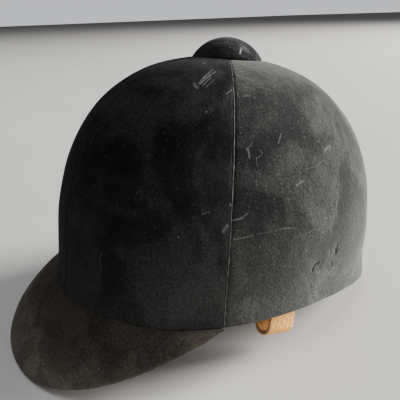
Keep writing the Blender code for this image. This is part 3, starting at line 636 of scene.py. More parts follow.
class Effects:
    """Effects that several materials share, each built once."""

    def __init__(self) -> None:
        """Build every shared effect."""
        self.pile = self.make_pile()
        self.clouds = self.make_clouds()
        self.specks = self.make_specks()
        self.stroke = self.make_stroke()
        self.weave = self.make_weave()
        self.grain = self.make_grain()

    def make_pile(self) -> bpy.types.NodeTree:
        """Cut pile: tufts about 1.5 mm across, broken by a finer grain of fibres."""
        graph, given, out = new_effect(
            "cut_pile", {"Place": (VECTOR, ZERO)}, {"Tufts": FLOAT, "Height": FLOAT}
        )
        place = given.outputs["Place"]
        tufts = graph.noise(place, 780.0, 3.0, 0.68, 0.35)
        fibres = graph.noise(place, 2300.0, 2.0, 0.6)
        both = graph.math("ADD", graph.times(tufts, 0.72), graph.times(fibres, 0.28))
        graph.feed(out.inputs["Tufts"], graph.remap(both, 0.34, 0.68))
        graph.feed(out.inputs["Height"], both)
        return graph.tree

    def make_clouds(self) -> bpy.types.NodeTree:
        """Patches where the pile is rubbed or crushed, large ones with smaller in them."""
        graph, given, out = new_effect(
            "rubbed_patches", {"Place": (VECTOR, ZERO), "Scale": (FLOAT, 20.0)}, {"Patches": FLOAT}
        )
        place = graph.vector("SCALE", given.outputs["Place"], given.outputs["Scale"]).outputs[0]
        large = graph.remap(graph.noise(place, 1.0, 4.0, 0.55, 0.8), 0.36, 0.66)
        small = graph.noise(place, 4.2, 4.0, 0.62, 0.5)
        share = graph.math("ADD", graph.times(large, 0.50), graph.times(small, 0.75))
        graph.feed(out.inputs["Patches"], graph.remap(share, 0.28, 0.98))
        return graph.tree

    def make_specks(self) -> bpy.types.NodeTree:
        """Sparse specks: cells of a Voronoi texture, of which only a random few show."""
        graph, given, out = new_effect(
            "specks",
            {"Place": (VECTOR, ZERO), "Scale": (FLOAT, 150.0), "Share": (FLOAT, 0.1), "Size": (FLOAT, 0.1)},
            {"Specks": FLOAT},
        )
        cells = graph.node("ShaderNodeTexVoronoi")
        graph.feed(cells.inputs["Vector"], given.outputs["Place"])
        graph.feed(cells.inputs["Scale"], given.outputs["Scale"])
        parts = graph.node("ShaderNodeSeparateColor")
        graph.feed(parts.inputs[0], cells.outputs["Color"])
        chosen = graph.math("LESS_THAN", parts.outputs[0], given.outputs["Share"])
        size = graph.times(given.outputs["Size"], graph.math("ADD", parts.outputs[1], 0.4))
        near = graph.math("SUBTRACT", 1.0, graph.math("DIVIDE", cells.outputs["Distance"], size), True)
        graph.feed(out.inputs["Specks"], graph.times(chosen, graph.math("POWER", near, 0.7)))
        return graph.tree

    def make_stroke(self) -> bpy.types.NodeTree:
        """Mark along a straight run: full on its line, gone at its half width.

        The place's way along the run is held between its ends, so the mark is round there.
        """
        graph, given, out = new_effect(
            "stroke",
            {
                "Place": (VECTOR, ZERO),
                "Start": (VECTOR, ZERO),
                "End": (VECTOR, ZERO),
                "Width": (FLOAT, 0.001),
            },
            {"Mark": FLOAT},
        )
        run = graph.vector("SUBTRACT", given.outputs["End"], given.outputs["Start"]).outputs[0]
        way = graph.vector("SUBTRACT", given.outputs["Place"], given.outputs["Start"]).outputs[0]
        along = graph.vector("DOT_PRODUCT", way, run).outputs["Value"]
        square = graph.vector("DOT_PRODUCT", run, run).outputs["Value"]
        share = graph.math("DIVIDE", along, square, True)
        foot = graph.vector("SCALE", run, share).outputs[0]
        away = graph.vector("LENGTH", graph.vector("SUBTRACT", way, foot).outputs[0]).outputs["Value"]
        graph.feed(out.inputs["Mark"], graph.remap(away, 0.0, given.outputs["Width"], 1.0, 0.0))
        return graph.tree

    def make_weave(self) -> bpy.types.NodeTree:
        """Plain weave: warp and weft threads that pass over each other by turns."""
        graph, given, out = new_effect(
            "weave", {"Place": (VECTOR, ZERO), "Threads": (FLOAT, 2000.0)}, {"Height": FLOAT}
        )
        place = graph.vector("SCALE", given.outputs["Place"], given.outputs["Threads"]).outputs[0]
        warp, weft = (graph.math("SINE", graph.times(part, math.pi)) for part in graph.parts(place)[:2])
        graph.feed(out.inputs["Height"], graph.scaled(graph.times(warp, weft), 0.5, 0.5))
        return graph.tree

    def make_grain(self) -> bpy.types.NodeTree:
        """Leather grain: pebbles of a Voronoi texture, each parted by a crease."""
        graph, given, out = new_effect(
            "leather_grain", {"Place": (VECTOR, ZERO), "Scale": (FLOAT, 900.0)}, {"Height": FLOAT}
        )
        cells = graph.node("ShaderNodeTexVoronoi", feature="SMOOTH_F1")
        graph.feed(cells.inputs["Vector"], given.outputs["Place"])
        graph.feed(cells.inputs["Scale"], given.outputs["Scale"])
        cells.inputs["Smoothness"].default_value = 0.6
        graph.feed(out.inputs["Height"], graph.remap(cells.outputs["Distance"], 0.0, 0.8, 1.0, 0.0))
        return graph.tree


# ---------------------------------------------------------------- wear on the velvet


@dataclass(frozen=True)
class Mark:
    """A worn line or spot in the pile, in millimetres of the form frame."""

    path: tuple[Point, ...]
    width: float
    strength: float
    depth: float = 0.0

    def places(self, form: HatForm) -> Array:
        """The mark's points on the standing hat, in metres."""
        return form.stand(np.array(self.path) * MM)


PALE_MARKS = (
    Mark(((40.4, -51.7, 141.7), (36.9, -44.8, 145.8), (33.4, -36.3, 149.4)), 0.55, 0.42),
    Mark(((41.3, -51.6, 141.2), (39.1, -44.7, 144.9), (36.5, -36.5, 148.3)), 0.7, 0.5),
    Mark(((39.0, -47.5, 144.0), (35.3, -39.1, 148.1)), 0.45, 0.42),
    Mark(((43.2, -50.4, 140.6), (40.2, -42.4, 145.3)), 0.6, 0.26),
    Mark(((45.4, -49.2, 139.9), (43.0, -42.0, 143.9)), 0.5, 0.22),
    Mark(((38.4, -54.0, 141.9), (42.6, -54.2, 139.2)), 1.8, 0.2),
    Mark(((55.1, -41.4, 136.7), (54.0, -36.1, 139.2)), 0.6, 0.34),
    Mark(((21.8, -35.4, 152.6), (22.0, -34.9, 152.7)), 0.75, 0.95),
    Mark(((57.8, -57.2, 127.0), (58.0, -57.5, 126.4)), 0.9, 0.3),
    Mark(((59.9, -32.0, 135.8), (60.7, -28.4, 136.0)), 0.6, 0.26),
    Mark(((80.2, -17.7, 115.6), (82.6, -21.5, 110.6)), 0.55, 0.24),
    Mark(((85.4, -56.4, 78.6), (85.5, -56.0, 77.9)), 1.2, 0.5),
    Mark(((87.5, -56.4, 69.6), (89.0, -52.2, 70.2), (89.6, -50.2, 71.1)), 0.7, 0.27),
    Mark(((89.6, -50.2, 71.1), (90.2, -47.1, 73.4)), 0.7, 0.22),
    Mark(((79.0, -71.7, 73.0), (80.9, -67.8, 74.3)), 0.6, 0.22),
    Mark(((86.5, -61.4, 63.2), (86.9, -59.2, 66.6)), 1.7, 0.22),
    Mark(((78.8, -41.8, 108.8), (81.6, -42.0, 103.4)), 0.9, 0.22),
    Mark(((93.3, -13.0, 87.0), (93.0, -8.0, 88.8)), 1.2, 0.16),
    Mark(((86.3, 16.4, 104.7), (84.8, 22.5, 106.5)), 1.4, 0.2),
    Mark(((99.0, -14.0, 55.6), (99.3, -8.0, 57.0), (99.5, -3.0, 57.6)), 1.3, 0.2),
)
CREASE = Mark(
    (
        (89.7, -55.7, 58.4),
        (91.7, -50.0, 59.3),
        (93.6, -43.5, 60.5),
        (95.2, -37.2, 61.2),
        (96.5, -30.4, 62.1),
        (97.5, -24.1, 62.5),
        (98.7, -15.1, 61.6),
    ),
    0.6,
    0.24,
    0.22,
)
DENTS = (
    Mark(((101.5, 3.2, 34.8), (101.5, 6.4, 34.4)), 1.3, 0.8, 0.45),
    Mark(((101.6, 2.4, 33.2), (101.6, 1.6, 30.2)), 1.5, 0.75, 0.5),
    Mark(((100.2, 24.1, 39.6), (100.2, 24.6, 37.6)), 2.0, 0.8, 0.55),
    Mark(((99.9, 25.2, 43.5), (100.0, 24.6, 40.6)), 2.2, 0.25, 0.2),
    Mark(((100.4, 20.2, 31.6), (100.4, 20.8, 29.6)), 1.6, 0.45, 0.25),
    Mark(((99.2, 34.0, 28.3), (99.3, 33.2, 27.4)), 1.2, 0.2, 0.2),
)
BUTTON_MARKS = (
    Mark(((21.7, -5.9, 159.8), (20.6, -4.6, 161.4), (20.2, -4.0, 162.2)), 0.8, 0.75),
    Mark(((20.4, -4.2, 161.8), (19.0, -2.7, 163.2)), 1.5, 0.30),
    Mark(((20.2, 1.3, 162.3), (17.7, -1.2, 164.3)), 4.0, 0.12),
)
LINT = (
    ((91.0, -5.0, 95.0), (90.7, 2.4, 95.9), (90.3, 7.0, 96.8), (89.1, 12.4, 99.0)),
    ((89.1, 12.4, 99.0), (89.6, 14.6, 97.4), (90.2, 15.6, 95.6)),
    ((81.2, -35.7, 107.7), (82.7, -33.7, 105.9), (83.0, -36.2, 103.8), (82.8, -38.6, 103.6)),
    ((82.9, -38.0, 103.4), (83.9, -38.6, 100.6), (84.9, -38.0, 97.6)),
    ((79.0, -43.1, 107.7), (78.9, -40.1, 109.7), (78.0, -38.4, 111.6)),
)


# ---------------------------------------------------------------- finishes


# Colour of the painted shade laid in the dents.
SHADOW = (0.004, 0.004, 0.004)
RUBBED = (0.42, 0.42, 0.41)
LINT_COLOUR = (0.45, 0.44, 0.41)


@dataclass(frozen=True)
class VelvetFinish:
    """Worn cotton velvet: dark pile, dusty, with rubbed patches, marks and lint, and painted light and
    shade: darker towards the front, the crown and in the dents, lighter towards the rim.
    """

    name: str
    deep: Colour
    worn: Colour
    dust_and_light: Colour
    dust_share: float
    patch_scale: float
    sheen: float
    sheen_rough: float
    sheen_tint: Colour
    base_wear: float = 0.25
    lint: float = 0.05
    # Dusting and painted bounce light towards the rim: its strength, over the height band below.
    rim_dust_and_light: float = 0.0
    rim_dust_and_light_band: tuple[float, float] = (0.018, 0.115)
    speck: Colour = (0.20, 0.20, 0.19)
    # Painted shade: wear and dusting are dimmed from the first Y to the second, down to the third share, so
    # the front of the piece is darker as if turned from the light.
    painted_front_shade: tuple[float, float, float] = (-1.0, -0.9, 1.0)

    def build(
        self, effects: Effects, form: HatForm, pale: tuple[Mark, ...] = (), dark: tuple[Mark, ...] = ()
    ) -> bpy.types.Material:
        """Make the material.

        Args:
            effects: the shared effects.
            form: the hat's form, which places the marks.
            pale: scuffs to lay over the pile.
            dark: dents to sink in it and darken with painted shade.

        Returns:
            Pile between its deep and its worn colour by tufts and patches, dimmed towards the front as
            painted shade; then dusting thinned towards the crown as painted shade, dusting and painted
            bounce light towards the rim, painted shade in the dents, pale marks and specks of lint over it.
        """
        material, graph, shader = new_material(self.name)
        place = graph.place()
        pile = graph.group(effects.pile, Place=place)
        patches = graph.group(effects.clouds, Place=place, Scale=self.patch_scale).outputs["Patches"]
        tufts = pile.outputs["Tufts"]
        _, rearward, height = graph.parts(place)
        # Painted shade: wear and dusting dimmed towards -Y, the side turned away from the lamps.
        front, back, least = self.painted_front_shade
        painted_light_share = graph.remap(rearward, front, back, least, 1.0)
        worn = graph.times(patches, graph.scaled(tufts, 0.9, 0.35))
        wear = graph.math("ADD", worn, graph.times(tufts, self.base_wear), True)
        # Painted shade: from here the wear share is also dimmed towards the front.
        wear = graph.times(wear, painted_light_share)
        colour = graph.mix(wear, self.deep, self.worn)
        settled_dust_and_crown_shade = graph.noise(place, 9.0, 3.0, 0.6, 0.4)
        # Dusting in soft patches, thinned towards the crown: the thinning is painted shade that darkens the
        # top.
        settled_dust_and_crown_shade = graph.times(
            graph.remap(settled_dust_and_crown_shade, 0.35, 0.75),
            self.dust_share,
            graph.remap(tufts, 0.0, 1.0, 0.45, 1.0),
            graph.remap(height, 0.09, 0.165, 1.0, 0.15),
        )
        # Dusting and painted bounce light, lighter towards the rim; on the peak this is painted light along
        # its low front edge.
        low = graph.times(
            graph.remap(height, *self.rim_dust_and_light_band, 1.0, 0.0),
            self.rim_dust_and_light,
            graph.remap(patches, 0.1, 0.9, 0.6, 1.0),
            graph.remap(tufts, 0.0, 1.0, 0.5, 1.0),
            graph.remap(painted_light_share, 0.0, 1.0, 0.5, 1.0),
        )
        # Dusting plus painted light and shade, mixed in as one share of the dusting colour.
        dust_and_light = graph.math("ADD", graph.times(settled_dust_and_crown_shade, painted_light_share), low, True)
        colour = graph.mix(dust_and_light, colour, self.dust_and_light)
        swell = graph.bump(patches, 0.0005)
        broken = graph.remap(tufts, 0.05, 0.6, 0.35, 1.0)
        if dark:
            depth = total_mark(graph, effects, form, place, dark)
            # Painted shade: the dents are darkened towards the shadow colour as well as bumped.
            colour = graph.mix(graph.times(depth, broken), colour, SHADOW)
            swell = graph.bump(graph.math("SUBTRACT", 1.0, depth), 0.0009, swell)
        if pale:
            rubbed = total_mark(graph, effects, form, place, pale)
            colour = graph.mix(graph.times(rubbed, broken), colour, RUBBED)
        specks = graph.group(effects.specks, Place=place, Scale=190.0, Share=self.lint, Size=0.075)
        faint = graph.group(effects.specks, Place=place, Scale=560.0, Share=0.22, Size=0.30)
        colour = graph.mix(graph.times(faint.outputs[0], 0.20), colour, self.speck)
        colour = graph.mix(graph.times(specks.outputs[0], 0.6), colour, LINT_COLOUR)
        graph.feed(shader.inputs["Base Color"], colour)
        graph.feed(shader.inputs["Roughness"], graph.remap(wear, 0.0, 1.0, 0.92, 0.78))
        shader.inputs["Specular IOR Level"].default_value = 0.05
        shader.inputs["Sheen Weight"].default_value = self.sheen
        shader.inputs["Sheen Roughness"].default_value = self.sheen_rough
        shader.inputs["Sheen Tint"].default_value = (*self.sheen_tint, 1.0)
        graph.feed(shader.inputs["Normal"], graph.bump(pile.outputs["Height"], 0.00055, swell))
        return material


def total_mark(
    graph: Graph, effects: Effects, form: HatForm, place: Socket, marks: tuple[Mark, ...]
) -> Socket:
    """Strength of a set of marks: the greatest of all their strokes.

    Args:
        graph: the material's graph.
        effects: the shared effects.
        form: the hat's form, which places the marks.
        place: coordinates on the hat.
        marks: the marks to lay.

    Returns:
        Strength, from 0 away from every mark.
    """
    total: Feed = 0.0
    for mark in marks:
        spots = mark.places(form)
        for start, end in zip(spots[:-1], spots[1:]):
            stroke = graph.group(
                effects.stroke, Place=place, Start=tuple(start), End=tuple(end), Width=mark.width * MM
            )
            total = graph.math("MAXIMUM", graph.times(stroke.outputs[0], mark.strength), total)
    return total


def new_material(name: str) -> tuple[bpy.types.Material, Graph, bpy.types.Node]:
    """Material with its graph and its Principled shader."""
    material = bpy.data.materials.new(name)
    material.use_nodes = True
    return material, Graph(material.node_tree), material.node_tree.nodes["Principled BSDF"]


@dataclass(frozen=True)
class LeatherFinish:
    """Leather with a pressed grain, dark burnished edges and a rough flesh side."""

    name: str
    grain_colour: Colour
    shade_colour: Colour
    flesh_colour: Colour
    edge_colour: Colour
    grain_scale: float
    relief: float

    def build(self, effects: Effects) -> bpy.types.Material:
        """Make the material: grain by UV, and the side and edge by the mesh's own values."""
        material, graph, shader = new_material(self.name)
        uv = graph.uv()
        slant = graph.node("ShaderNodeMapping")
        slant.inputs["Rotation"].default_value = (0.0, 0.0, math.radians(38.0))
        slant.inputs["Scale"].default_value = (1.0, 0.6, 1.0)
        graph.feed(slant.inputs["Vector"], uv)
        pebbles = graph.group(effects.grain, Place=slant.outputs[0], Scale=self.grain_scale).outputs[0]
        pores = graph.noise(uv, 2600.0, 3.0, 0.6)
        stains = graph.remap(graph.noise(graph.place(), 70.0, 3.0, 0.6, 0.4), 0.36, 0.7)
        colour = graph.mix(graph.times(stains, 0.55), self.grain_colour, self.shade_colour)
        dark = graph.remap(pebbles, 0.25, 0.75, 0.55, 0.0)
        colour = graph.mix(dark, colour, self.shade_colour)
        flesh = graph.mix(graph.remap(pores, 0.35, 0.65), self.flesh_colour, self.shade_colour)
        flesh_side = graph.remap(graph.attribute("flesh"), 0.3, 0.7)
        colour = graph.mix(flesh_side, colour, flesh)
        edge = graph.times(graph.remap(graph.attribute("edge"), 0.93, 0.985), 0.8)
        colour = graph.mix(edge, colour, self.edge_colour)
        graph.feed(shader.inputs["Base Color"], colour)
        graph.feed(shader.inputs["Roughness"], graph.remap(flesh_side, 0.0, 1.0, 0.48, 0.9))
        shader.inputs["Specular IOR Level"].default_value = 0.22
        fine = graph.bump(pores, 0.00012)
        graph.feed(shader.inputs["Normal"], graph.bump(pebbles, self.relief, fine))
        return material


@dataclass(frozen=True)
class ClothFinish:
    """Woven satin or cotton, with threads and a soft sheen."""

    name: str
    colour: Colour
    faded: Colour
    rough: float
    sheen: float
    threads: float = 2600.0

    def build(self, effects: Effects) -> bpy.types.Material:
        """Make the material: fading in patches, and the weave as a fine relief by UV."""
        material, graph, shader = new_material(self.name)
        weave = graph.group(effects.weave, Place=graph.uv(), Threads=self.threads).outputs[0]
        clouds = graph.group(effects.clouds, Place=graph.place(), Scale=26.0).outputs[0]
        colour = graph.mix(clouds, self.colour, self.faded)
        gaps = tuple(part * 0.45 for part in self.colour)
        thread = graph.mix(graph.remap(weave, 0.2, 0.8, 0.35, 0.0), colour, gaps)
        graph.feed(shader.inputs["Base Color"], thread)
        graph.feed(shader.inputs["Roughness"], graph.remap(clouds, 0.0, 1.0, self.rough, self.rough + 0.2))
        shader.inputs["Sheen Weight"].default_value = self.sheen
        shader.inputs["Sheen Roughness"].default_value = 0.4
        graph.feed(shader.inputs["Normal"], graph.bump(weave, 0.00012))
        return material


@dataclass(frozen=True)
class MetalFinish:
    """Dull brass: handling marks, tarnish in patches and fine scratches."""

    name: str
    bright: Colour
    tarnish: Colour

    def build(self, effects: Effects) -> bpy.types.Material:
        """Make the material: tarnish by patches, roughness by scratches."""
        material, graph, shader = new_material(self.name)
        place = graph.place()
        clouds = graph.group(effects.clouds, Place=place, Scale=160.0).outputs[0]
        scratches = graph.noise(place, 1900.0, 2.0, 0.7, 1.6)
        graph.feed(shader.inputs["Base Color"], graph.mix(clouds, self.bright, self.tarnish))
        shader.inputs["Metallic"].default_value = 1.0
        tarnished = graph.remap(clouds, 0.0, 1.0, 0.24, 0.46)
        rough = graph.math("ADD", tarnished, graph.times(scratches, 0.12))
        graph.feed(shader.inputs["Roughness"], rough)
        graph.feed(shader.inputs["Normal"], graph.bump(scratches, 0.00003))
        return material


class Stuff(Enum):
    """Hidden materials, by the way their grain is drawn."""

    CORK = "cork"
    WOOD = "wood"
    RESIN = "resin"
    BOARD = "board"
    FOAM = "foam"
    THREAD = "thread"


@dataclass(frozen=True)
class CoreFinish:
    """Plain stuff of an inner piece: granules, fibres or cells of two colours."""

    name: str
    stuff: Stuff
    light: Colour
    dark: Colour
    rough: float

    def build(self, effects: Effects) -> bpy.types.Material:
        """Make the material, with the pattern that suits the stuff."""
        material, graph, shader = new_material(self.name)
        place = graph.place()
        if self.stuff in (Stuff.CORK, Stuff.FOAM):
            scale = 420.0 if self.stuff is Stuff.CORK else 1300.0
            pattern = graph.group(effects.grain, Place=place, Scale=scale).outputs[0]
            relief = 0.0003
        elif self.stuff in (Stuff.WOOD, Stuff.BOARD):
            fibre = graph.node("ShaderNodeMapping")
            fibre.inputs["Scale"].default_value = (1.0, 9.0, 9.0)
            graph.feed(fibre.inputs["Vector"], place)
            pattern = graph.noise(fibre.outputs[0], 60.0, 4.0, 0.65, 0.6)
            relief = 0.0001
        elif self.stuff is Stuff.RESIN:
            pattern = graph.group(effects.weave, Place=place, Threads=900.0).outputs[0]
            relief = 0.0001
        else:
            pattern = graph.noise(place, 2400.0, 2.0, 0.6)
            relief = 0.0002
        stains = graph.noise(place, 40.0, 3.0, 0.6)
        stained = graph.remap(stains, 0.4, 0.7, 0.0, 0.3)
        share = graph.math("ADD", graph.remap(pattern, 0.25, 0.8, 0.0, 0.7), stained)
        graph.feed(shader.inputs["Base Color"], graph.mix(share, self.light, self.dark))
        graph.feed(shader.inputs["Roughness"], graph.remap(pattern, 0.0, 1.0, self.rough, self.rough - 0.12))
        graph.feed(shader.inputs["Normal"], graph.bump(pattern, relief))
        return material


class Palette:
    """Every finish of the hat, built once."""

    def __init__(self, form: HatForm) -> None:
        """Build the materials."""
        effects = Effects()
        # Painted light and shade: the front gores' finish is darker and less dusty than the rear gores',
        # partly for their nap and partly standing in for the front facing away from the key lamp and the
        # rear facing it.
        front = VelvetFinish(
            name="velvet_front", deep=(0.0030, 0.0031, 0.0038), worn=(0.022, 0.022, 0.0235),
            dust_and_light=(0.115, 0.113, 0.104), dust_share=0.18, patch_scale=22.0, sheen=0.030, sheen_rough=0.34,
            sheen_tint=(0.80, 0.84, 0.95), base_wear=0.16, lint=0.05, rim_dust_and_light=0.28,
            speck=(0.16, 0.16, 0.165), painted_front_shade=(-0.125, -0.045, 0.30),
        )
        rear = VelvetFinish(
            name="velvet_rear", deep=(0.0045, 0.0047, 0.0052), worn=(0.044, 0.044, 0.042),
            dust_and_light=(0.175, 0.176, 0.164), dust_share=0.26, patch_scale=24.0, sheen=0.27, sheen_rough=0.34,
            sheen_tint=(1.0, 0.985, 0.93), base_wear=0.24, lint=0.07, rim_dust_and_light=0.62,
            rim_dust_and_light_band=(0.018, 0.120), speck=(0.34, 0.34, 0.32), painted_front_shade=(-0.065, 0.075, 0.42),
        )
        # Painted light: the peak is lightened over its lowest band, along its front edge.
        peak = VelvetFinish(
            name="velvet_peak", deep=(0.0060, 0.0053, 0.0044), worn=(0.027, 0.023, 0.0185),
            dust_and_light=(0.15, 0.130, 0.104), dust_share=0.18, patch_scale=34.0, sheen=0.13, sheen_rough=0.36,
            sheen_tint=(0.95, 0.90, 0.84), base_wear=0.34, lint=0.04, rim_dust_and_light=0.85,
            rim_dust_and_light_band=(0.006, 0.034), speck=(0.14, 0.125, 0.105),
        )
        button = VelvetFinish(
            name="velvet_button", deep=(0.0040, 0.0042, 0.0050), worn=(0.018, 0.018, 0.0195),
            dust_and_light=(0.12, 0.12, 0.115), dust_share=0.20, patch_scale=60.0, sheen=0.10, sheen_rough=0.34,
            sheen_tint=(0.92, 0.94, 0.95), base_wear=0.22, lint=0.06,
        )
        scuffs = (CREASE, *PALE_MARKS)
        self.velvet_front = front.build(effects, form, scuffs)
        self.velvet_rear = rear.build(effects, form, scuffs, DENTS)
        self.velvet_peak = peak.build(effects, form)
        self.velvet_button = button.build(effects, form, BUTTON_MARKS)
        self.strap = LeatherFinish(
            "strap_leather_worn", (0.98, 0.50, 0.14), (0.78, 0.35, 0.09), (0.17, 0.085, 0.04),
            (0.46, 0.26, 0.13), 820.0, 0.00035,
        ).build(effects)
        self.band = LeatherFinish(
            "band_leather_worn", (0.30, 0.16, 0.085), (0.15, 0.07, 0.035), (0.24, 0.15, 0.09),
            (0.10, 0.05, 0.03), 1100.0, 0.00018,
        ).build(effects)
        self.satin = ClothFinish(
            "satin_quilted", (0.030, 0.028, 0.034), (0.070, 0.064, 0.068), 0.34, 0.2
        ).build(effects)
        self.under_cloth = ClothFinish(
            "peak_underside", (0.020, 0.034, 0.026), (0.050, 0.062, 0.050), 0.6, 0.3, 1800.0
        ).build(effects)
        self.brass = MetalFinish("brass_dull", (0.80, 0.60, 0.29), (0.36, 0.24, 0.11)).build(effects)

        def core(name: str, stuff: Stuff, light: Colour, dark: Colour, rough: float) -> bpy.types.Material:
            """Material of one hidden stuff."""
            return CoreFinish(name, stuff, light, dark, rough).build(effects)

        thread = Stuff.THREAD
        self.seam_thread = core("seam_thread", thread, (0.20, 0.20, 0.185), (0.045, 0.045, 0.042), 0.9)
        self.dark_thread = core("dark_thread", thread, (0.02, 0.02, 0.02), (0.006, 0.006, 0.006), 0.9)
        self.pale_thread = core("pale_thread", thread, (0.55, 0.45, 0.32), (0.30, 0.22, 0.14), 0.8)
        self.lint = core("lint_fibre", thread, (0.22, 0.215, 0.20), (0.10, 0.10, 0.095), 0.9)
        self.cork = core("cork_pressed", Stuff.CORK, (0.50, 0.33, 0.19), (0.22, 0.12, 0.06), 0.9)
        self.wood = core("wood_turned", Stuff.WOOD, (0.42, 0.29, 0.17), (0.24, 0.15, 0.08), 0.7)
        self.board = core("board_fibre", Stuff.BOARD, (0.36, 0.29, 0.20), (0.20, 0.15, 0.10), 0.9)
        self.resin = core("shell_resin_cloth", Stuff.RESIN, (0.50, 0.41, 0.27), (0.33, 0.25, 0.15), 0.5)
        self.foam = core("foam_felted", Stuff.FOAM, (0.66, 0.61, 0.52), (0.48, 0.43, 0.35), 0.95)


def dress(item: bpy.types.Object, material: bpy.types.Material, body: str = HAT) -> None:
    """Give a piece its material and slot, make it ride on its body and report it."""
    item.data.materials.clear()
    item.data.materials.append(material)
    if body:
        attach(item, body)
    LOG.info("%s: %d faces", item.name, len(item.data.polygons))


# ---------------------------------------------------------------- velvet crown


class Quarter(Enum):
    """The four gores, by name."""

    FRONT_LEFT = "front_left"
    REAR_LEFT = "rear_left"
    REAR_RIGHT = "rear_right"
    FRONT_RIGHT = "front_right"


